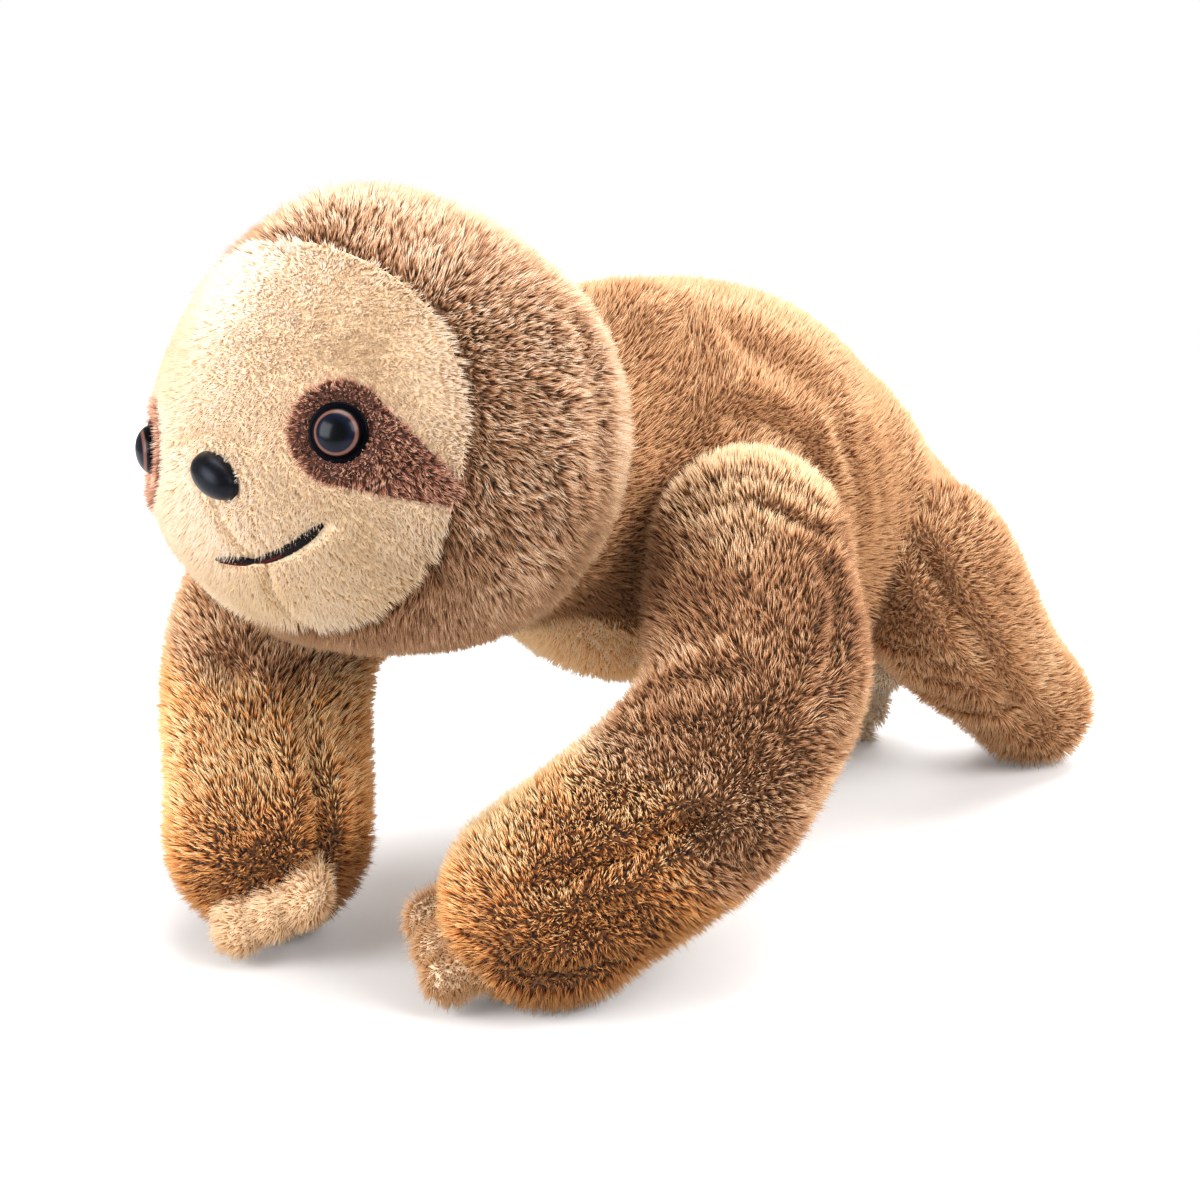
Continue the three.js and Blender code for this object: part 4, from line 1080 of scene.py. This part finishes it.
def add_eye(sign, side):
    """A safety eye: a stem, a rounded rim and a dome a little inside it, turned about the eye's direction."""
    ahead, out, up = eye_axes(sign)
    rim = np.radians(np.linspace(-90, 90, 7))
    dome = np.radians(np.linspace(4, 86, 14))
    rim_middle, inset = EYE_RADIUS - EYE_RIM_ROUND, EYE_RADIUS - EYE_DOME_INSET
    rise = EYE_DOME - 0.3
    profile = [
        (0.3, -STEM_LENGTH),
        (STEM_RADIUS - 0.3, -STEM_LENGTH),
        (STEM_RADIUS, -STEM_LENGTH + 0.4),
        (STEM_RADIUS, 0),
    ]
    for turn in rim:
        profile.append((rim_middle + EYE_RIM_ROUND * math.cos(turn), EYE_RIM_HALF * (1 + math.sin(turn))))
    profile += [(inset + 0.1, 1.6)]
    profile += [(inset * math.cos(turn), EYE_DOME_FOOT + rise * math.sin(turn)) for turn in dome]
    seat = float(head_radius(ahead)) - EYE_SINK
    points, faces = closed_rings(from_head(lathe(profile, ahead, out, up, ahead * seat)))
    local = into_head(points)
    radial = np.hypot(local @ out, local @ up) / EYE_RADIUS
    behind = local @ ahead < seat + 0.2
    values = {"radial": np.where(behind, 1.0, radial)}
    eye = make_piece(f"{side}_glossy_eye", "head", EYE_ACRYLIC, points, faces, values)
    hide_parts(f"{side}_eye")


def nose_axes():
    """The nose's direction, and the ways along and across its oval, whose left end hangs."""
    ahead = face_direction(FACE_MIDDLE, -NOSE_DROP)
    side = unit(np.cross([0.0, 0.0, 1.0], ahead))
    up = np.cross(ahead, side)
    cosine, sine = math.cos(math.radians(NOSE_TURN)), math.sin(math.radians(NOSE_TURN))
    return ahead, cosine * side - sine * up, cosine * up + sine * side


def add_nose():
    """The nose: a stem, a rounded rim and a blunt dome, turned about its direction and flattened."""
    ahead, side, up = nose_axes()
    rim = np.radians(np.linspace(-90, 60, 7))
    dome = np.radians(np.linspace(10, 86, 14))
    rim_middle, inset = NOSE_HALF_WIDTH - NOSE_RIM_ROUND, NOSE_HALF_WIDTH - NOSE_DOME_INSET
    rise = NOSE_DOME + 0.2
    profile = [(0.3, -STEM_LENGTH), (STEM_RADIUS, -STEM_LENGTH), (STEM_RADIUS, 0)]
    for turn in rim:
        profile.append((rim_middle + NOSE_RIM_ROUND * math.cos(turn), NOSE_RIM_ROUND * (1 + math.sin(turn))))
    profile += [(inset * math.cos(turn) ** 0.9, NOSE_DOME_FOOT + rise * math.sin(turn)) for turn in dome]
    seat = float(head_radius(ahead)) - NOSE_SINK
    grid = lathe(profile, ahead, side, up, ahead * seat, NOSE_HALF_HEIGHT / NOSE_HALF_WIDTH)
    points, faces = closed_rings(from_head(grid))
    nose = make_piece("glossy_nose", "head", NOSE_PLASTIC, points, faces)
    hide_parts("nose")


def stitch_grids(row, rng):
    """Slim spindles of a row of satin stitches, laid slantwise across the smile's line on the head.

    Their length tapers to the line's ends and to the joint under the nose."""
    left = np.linspace(MOUTH_FIRST, MOUTH_LAST, row.count)
    ends_gap = np.minimum(np.minimum(left - MOUTH_FIRST, MOUTH_LAST - left), np.abs(left - MOUTH_JOINT))
    full = 0.45 + 0.55 * smoothstep(0, 5, ends_gap)
    if row.lift:
        red = (ends_gap > RED_END_GAP) & (left < MOUTH_JOINT + RED_REACH)
        left, full = only(red, left, full)
    flat = np.stack([left, mouth_rise(left)], 1)
    way = unit(np.gradient(flat, axis=0))
    upwards = np.stack([-way[:, 1], way[:, 0]], 1)
    slant = unit(upwards + STITCH_SLANT * way + rng.normal(0, 0.06, way.shape))
    centre = flat + row.offset * upwards
    ends = np.linspace(-1, 1, 7)[:, None]
    path = centre[:, None, :] + row.half_length * full[:, None, None] * (ends * slant[:, None, :])
    ahead = np.sqrt(HEAD_RADIUS**2 - path[..., 0] ** 2 - path[..., 1] ** 2)
    for _ in range(3):
        point = np.stack([path[..., 0], -ahead, path[..., 1]], -1)
        normal = unit(point)
        ahead = np.sqrt(head_radius(normal) ** 2 - path[..., 0] ** 2 - path[..., 1] ** 2)
    point = point - normal * (STITCH_DEPTH - row.lift - STITCH_CROWN * (1 - ends**2))
    across = unit(np.cross(normal, np.gradient(point, axis=1)))
    angle = round_steps(6)
    size = row.radius * np.sqrt(1.02 - ends**2)[None, :, :, None]
    ring = np.cos(angle)[:, None] * across[:, :, None, :] + np.sin(angle)[:, None] * normal[:, :, None, :]
    return point[:, :, None, :] + size * ring


def add_mouth():
    """The smile: a black row of satin stitches, and a narrow dark red row on it."""
    rng = np.random.default_rng(61)
    points, quads, fans, tones = [], [], [], []
    for row in (BLACK_STITCHES, RED_STITCHES):
        grids = stitch_grids(row, rng)
        tone = np.clip(row.tone + rng.normal(0, 0.08, len(grids)), 0, 1)
        for grid in grids:
            spots, (sides, ends) = closed_rings(from_head(grid))
            start = len(points) * len(spots)
            quads.append(sides + start)
            fans.append(ends + start)
            points.append(spots)
        tones.append(np.repeat(tone, len(spots)))
    faces = [np.vstack(quads), np.vstack(fans)]
    values = {"tone": np.concatenate(tones)}
    stitches = np.vstack(points)
    mouth = make_piece("mouth_stitches", "head", MOUTH_THREAD, stitches, faces, values)
    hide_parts("mouth_stitching")


def add_head():
    """The head's skins and fur, its eyes with their patches, its nose and its mouth."""
    columns = round_steps(HEAD_COLUMNS)
    edge = seam_angle(columns)
    face = add_face_skin(columns, edge)
    hood = add_hood_skin(columns, edge)
    add_hood_fur(hood)
    add_face_fur(face)
    for sign, side in SIDES:
        add_patch(sign, f"{side}_eye_patch")
        add_eye(sign, side)
    add_nose()
    add_mouth()


# Limbs

def claw_forms(paw, radius, way, row, reach, pitch):
    """The three claws of a paw: oval bags from inside the paw to their tips, wide enough to touch."""
    way, row = unit(way), unit(row)
    for index in range(3):
        start = paw + row * (index - 1) * pitch + way * radius / 2
        tip = start + way * (radius / 2 + reach - CLAW_RADIUS - CLAW_TIP_ROUND)
        yield Form(np.array([start, tip]), np.full(2, CLAW_RADIUS * CLAW_SPREAD), 1 / CLAW_SPREAD, row)


def add_claws(limb, body, limb_form, forms, tone, seed):
    """A paw's claws, flat on the floor, with their pile brushed along the row."""
    for index, form in enumerate(forms):
        grid = bag(form, -SKIN_DEPTH["claw"], rings=12, caps=6, sides=20)
        grid[..., 2] = np.maximum(grid[..., 2], SKIN_DEPTH["claw"])
        name = f"{limb}_claw_{index + 1}"
        add_skin(f"{name}_skin", body, CREAM_BASE, grid, [name])
        root, normal, luck = scatter(grid, CLAW.density, seed + index)
        root, normal, luck = only(depth_in(limb_form, root) < CLAW_FUR_IN_PAW, root, normal, luck)
        way = unit(form.stations[1] - form.stations[0])
        nap = 0.8 * unit(form.across) + 0.4 * way + 0.4 * drift(root, 30, seed + 10)
        even = np.ones(len(root))
        # tone is painted shade or painted light on the claws' pile
        hairs = Hairs(root, normal, luck, nap, even, even, tone * even)
        add_pile(f"{name}_fur", body, "claw_plush", CLAW_PILE, CLAW, hairs, seed + 20)


def add_arm(sign, side):
    """An arm: a bag through shoulder, elbow and paw, flat where it lies on the body and on the floor."""
    form = ARMS[sign]
    name = f"{side}_arm"
    grid = bag(form, -SKIN_DEPTH["fur"], rings=90, caps=14, sides=72)
    near = np.linalg.norm(grid[..., 1:] - SHOULDER[1:], axis=-1) < SHOULDER_SEAM_REACH
    outside = sign * np.maximum(sign * grid[..., 0], SHOULDER_SEAM)
    grid[..., 0] = np.where(near, outside, grid[..., 0])
    folds = LEFT_ARM_FOLDS if sign > 0 else RIGHT_ARM_FOLDS
    grid = folded(grid, folds, 1)
    if sign > 0:
        grid = settled(grid, LEFT_ARM_SAGS, 1)
    grid[..., 2] = np.maximum(grid[..., 2], PAW_FLAT)
    add_skin(f"{name}_skin", name, ARM_BASE, grid, [f"{name}_cover"])
    add_arm_fur(sign, side, name, grid, folds)
    way, row = mirrored(FORE_CLAW_WAY, sign), mirrored(FORE_CLAW_ROW, sign)
    forms = claw_forms(form.stations[-1], ARM_RADII[-1], way, row, FORE_CLAW_REACH, FORE_CLAW_PITCH)
    add_claws(f"{side}_fore", name, form, forms, FORE_CLAW_PAINTED_SHADE[sign], 80)


def add_arm_fur(sign, side, name, grid, folds):
    """An arm's fur, brushed up: a shoulder cap lit by painted light, a brown upper arm and a golden forearm.
    """
    root, normal, luck = scatter(grid, FUR.density, 70 + sign)
    clear = depth_in(BODY, root) < ARM_FUR_IN_BODY
    clear &= np.linalg.norm(root - HEAD_CENTRE, axis=1) > HEAD_RADIUS - ARM_FUR_IN_HEAD
    root, normal, luck = only(clear, root, normal, luck)
    left, _, height = root.T
    upward = normal[:, 2]
    golden = smoothstep(*GOLDEN_HEIGHTS, height)
    if sign > 0:
        golden *= 1 - 0.8 * smoothstep(*BROWN_SIDE, left)
    nap = ARM_NAP + 0.4 * drift(root, 60, 75 + sign)
    groove = in_grooves(root, folds, 1)
    # Painted light where the fur faces up; painted shade in grooves, in a band above the elbow, low on the
    # paw and, on the right arm, under the chin
    shade = 0.10 * drift(root, 45, 77 + sign)[:, 0] - GROOVE_PAINTED_SHADE * groove + 0.25 * smoothstep(0.3, 1, upward)
    shade -= 0.32 * smoothstep(*PAINTED_SHADE_FROM, height) * smoothstep(*PAINTED_SHADE_TO, height)
    shade += 0.25 * golden * upward
    shade -= 0.4 * smoothstep(*PAW_PAINTED_SHADE_HEIGHTS, height)
    if sign < 0:
        shade -= 0.2 * smoothstep(*CHIN_SHADE_SIDE, left) * smoothstep(*CHIN_SHADE_HEIGHTS, height)
    clump = 1.35 - 0.7 * smoothstep(-0.1, 0.6, upward)
    upper = golden < 0.5 + 0.35 * (luck[:, 5] - 0.5)
    cap = upper & (upward > CAP_SLOPE + CAP_SLOPE_SPREAD * (luck[:, 5] - 0.5))
    cap &= height > CAP_HEIGHT + CAP_HEIGHT_SPREAD * luck[:, 4]
    # The cap is painted light: a paler tone, and the paler body fur, where the shoulder faces up
    shade = shade + 0.4 * cap
    hairs = Hairs(root, normal, luck, nap, 1 - GROOVE_SHORT * groove, clump, shade)
    parts = (
        ("shoulder", TAN_PILE, cap),
        ("upper_arm", ARM_PILE, upper & ~cap),
        ("forearm", FOREARM_PILE, ~upper),
    )
    for part, material, mask in parts:
        add_pile(f"{side}_{part}_fur", name, "tan_fur", material, FUR, hairs, 78, mask)


def turn_round(vector, axis, degrees):
    """A vector turned about a unit axis: v cos + (axis x v) sin + axis (axis.v)(1 - cos)."""
    cosine, sine = math.cos(math.radians(degrees)), math.sin(math.radians(degrees))
    return vector * cosine + np.cross(axis, vector) * sine + axis * (axis @ vector) * (1 - cosine)


def add_leg(sign, side):
    """A leg: a bag from hip to foot, pushed out of the body's form and flat on the floor."""
    form = LEGS[sign]
    name = f"{side}_leg"
    grid = bag(form, -SKIN_DEPTH["fur"], rings=70, caps=14, sides=80)
    grid = push_out(grid, BODY, SKIN_DEPTH["fur"] + HIP_SINK)
    grid = settled(folded(grid, LEG_FOLDS, sign), LEG_SAGS, sign)
    grid[..., 2] = np.maximum(grid[..., 2], PAW_FLAT)
    add_skin(f"{name}_skin", name, TAN_BASE, grid, [f"{name}_cover"])
    root, normal, luck = scatter(grid, LEG_DENSITY_SHARE * FUR.density, 90 + sign)
    root, normal, luck = only(depth_in(BODY, root) < LEG_FUR_IN_BODY, root, normal, luck)
    nap = LEG_NAP + 0.35 * drift(root, 60, 92 + sign)
    groove = in_grooves(root, LEG_FOLDS, sign)
    # Painted shade in the grooves, and the leg's tone a little lower all over
    shade = 0.10 * drift(root, 40, 94 + sign)[:, 0] - GROOVE_PAINTED_SHADE * groove - 0.1
    hairs = Hairs(root, normal, luck, nap, 1 - GROOVE_SHORT * groove, np.ones(len(root)), shade)
    add_pile(f"{name}_fur", name, "tan_fur", TAN_PILE, FUR, hairs, seed=95)
    turn, dip = math.radians(HIND_CLAW_TURN[sign]), math.radians(HIND_CLAW_DIP)
    way = np.array([-math.cos(turn) * math.cos(dip), math.sin(turn) * math.cos(dip), -math.sin(dip)])
    row = turn_round(unit(np.array([0, 0, -1]) + way * way[2]), way, HIND_CLAW_ROW_TILT)
    way, row = mirrored(way, sign), mirrored(row, sign)
    forms = claw_forms(form.stations[-1], LEG_RADII[-1], way, row, HIND_CLAW_REACH[sign], HIND_CLAW_PITCH)
    add_claws(f"{side}_hind", name, form, forms, HIND_CLAW_PAINTED_LIGHT, 100)


add_body()
add_head()
for sign, side in SIDES:
    add_arm(sign, side)
    add_leg(sign, side)


# Inner pieces, which the covers hide
INNER = {
    "stuffing": plain_finish("polyester_fibre_fill", "#f6f4ee", "#dedbd2", 3.0, 1.0),
    "neck_tube": plain_finish("stuffed_neck_cotton", "#d9d2c4", "#bfb6a4", 0.8, 0.9),
    "weight_pouch": plain_finish("woven_cotton_pouch", "#d9d2c4", "#bcb29f", 0.7, 0.9),
    "weight_beads": plain_finish("glass_bead_fill", "#dfe6e8", "#aab4b8", 1.2, 0.3),
    "washer": plain_finish("moulded_nylon_washer", "#ecece8", "#dcdcd6", 0.9, 0.5),
}
for node_name, piece in frame["nodes"].items():
    for key, material in INNER.items():
        if key in node_name:
            piece.data.materials.clear()
            piece.data.materials.append(material)


# Studio

def add_floor():
    """A pale sweep under the animal: white to the eye, and still darkened by the shadow."""
    material, tree = new_material("studio_paper")
    paper = node(tree, "ShaderNodeBsdfDiffuse", {"Color": colour("#ececec")})
    seen = node(tree, "ShaderNodeLightPath").outputs["Is Camera Ray"]
    lift = node(tree, "ShaderNodeMath", {0: seen, 1: FLOOR_LIFT}, operation="MULTIPLY")
    glow = node(tree, "ShaderNodeEmission", {"Color": (1, 1, 1, 1), "Strength": lift.outputs[0]})
    both = node(tree, "ShaderNodeAddShader", {0: paper.outputs[0], 1: glow.outputs[0]})
    node(tree, "ShaderNodeOutputMaterial", {"Surface": both.outputs[0]})
    mesh = bpy.data.meshes.new("studio_floor")
    reach = FLOOR_HALF_SIZE * MM
    corners = [(-reach, -reach, 0), (reach, -reach, 0), (reach, reach, 0), (-reach, reach, 0)]
    mesh.from_pydata(corners, [], [(0, 1, 2, 3)])
    mesh.materials.append(material)
    floor = bpy.data.objects.new("studio_floor", mesh)
    bpy.context.scene.collection.objects.link(floor)


def add_world():
    """White to the camera, softer as light."""
    world = bpy.data.worlds.new("studio_white")
    world.use_nodes = True
    tree = world.node_tree
    tree.nodes.clear()
    path = node(tree, "ShaderNodeLightPath")
    inputs = {0: path.outputs["Is Camera Ray"], 1: path.outputs["Is Transmission Ray"]}
    seen = node(tree, "ShaderNodeMath", inputs, operation="MAXIMUM")
    level = node(tree, "ShaderNodeMapRange", {0: seen.outputs[0], 3: WORLD_LIGHT, 4: 1.0})
    back = node(tree, "ShaderNodeBackground", {"Color": (1, 1, 1, 1), "Strength": level.outputs[0]})
    node(tree, "ShaderNodeOutputWorld", {"Surface": back.outputs[0]})
    bpy.context.scene.world = world


def look_at(obj, place, target):
    """Puts an object at a place with its -Z axis towards a target, in millimetres of the floor's frame."""
    obj.location = (place + ORIGIN) * MM
    way = target - place
    turn = math.atan2(way[1], way[0]) - math.pi / 2
    tilt = math.pi / 2 + math.atan2(way[2], math.hypot(way[0], way[1]))
    obj.rotation_euler = (tilt, 0, turn)


def camera_side(right, up, near):
    """A place given to the right of, above and nearer than the target, as the camera sees it level."""
    turn = math.radians(CAMERA_TURN)
    across = np.array([math.cos(turn), math.sin(turn), 0])
    towards = np.array([math.sin(turn), -math.cos(turn), 0])
    return CAMERA_TARGET + across * right + towards * near + np.array([0, 0, up])


def add_lamp(name, place, size, power):
    """A soft square lamp that faces the animal."""
    lamp = bpy.data.lights.new(name, "AREA")
    lamp.size = size * MM
    lamp.energy = power
    obj = bpy.data.objects.new(name, lamp)
    look_at(obj, place, CAMERA_TARGET)
    bpy.context.scene.collection.objects.link(obj)


def add_camera():
    """The photograph's camera, from its turn, rise and distance."""
    rise = math.radians(CAMERA_RISE)
    camera = bpy.data.cameras.new("photo_camera")
    camera.angle = 2 * math.atan(FRAME_PIXELS / 2 / CAMERA_FOCUS_PIXELS)
    obj = bpy.data.objects.new("photo_camera", camera)
    place = camera_side(0, CAMERA_DISTANCE * math.sin(rise), CAMERA_DISTANCE * math.cos(rise))
    look_at(obj, place, CAMERA_TARGET)
    bpy.context.scene.collection.objects.link(obj)
    bpy.context.scene.camera = obj


add_floor()
add_world()
for name, place, size, power in LAMPS:
    add_lamp(name, camera_side(*place), size, power)
add_camera()
bpy.context.scene.view_settings.view_transform = "Standard"
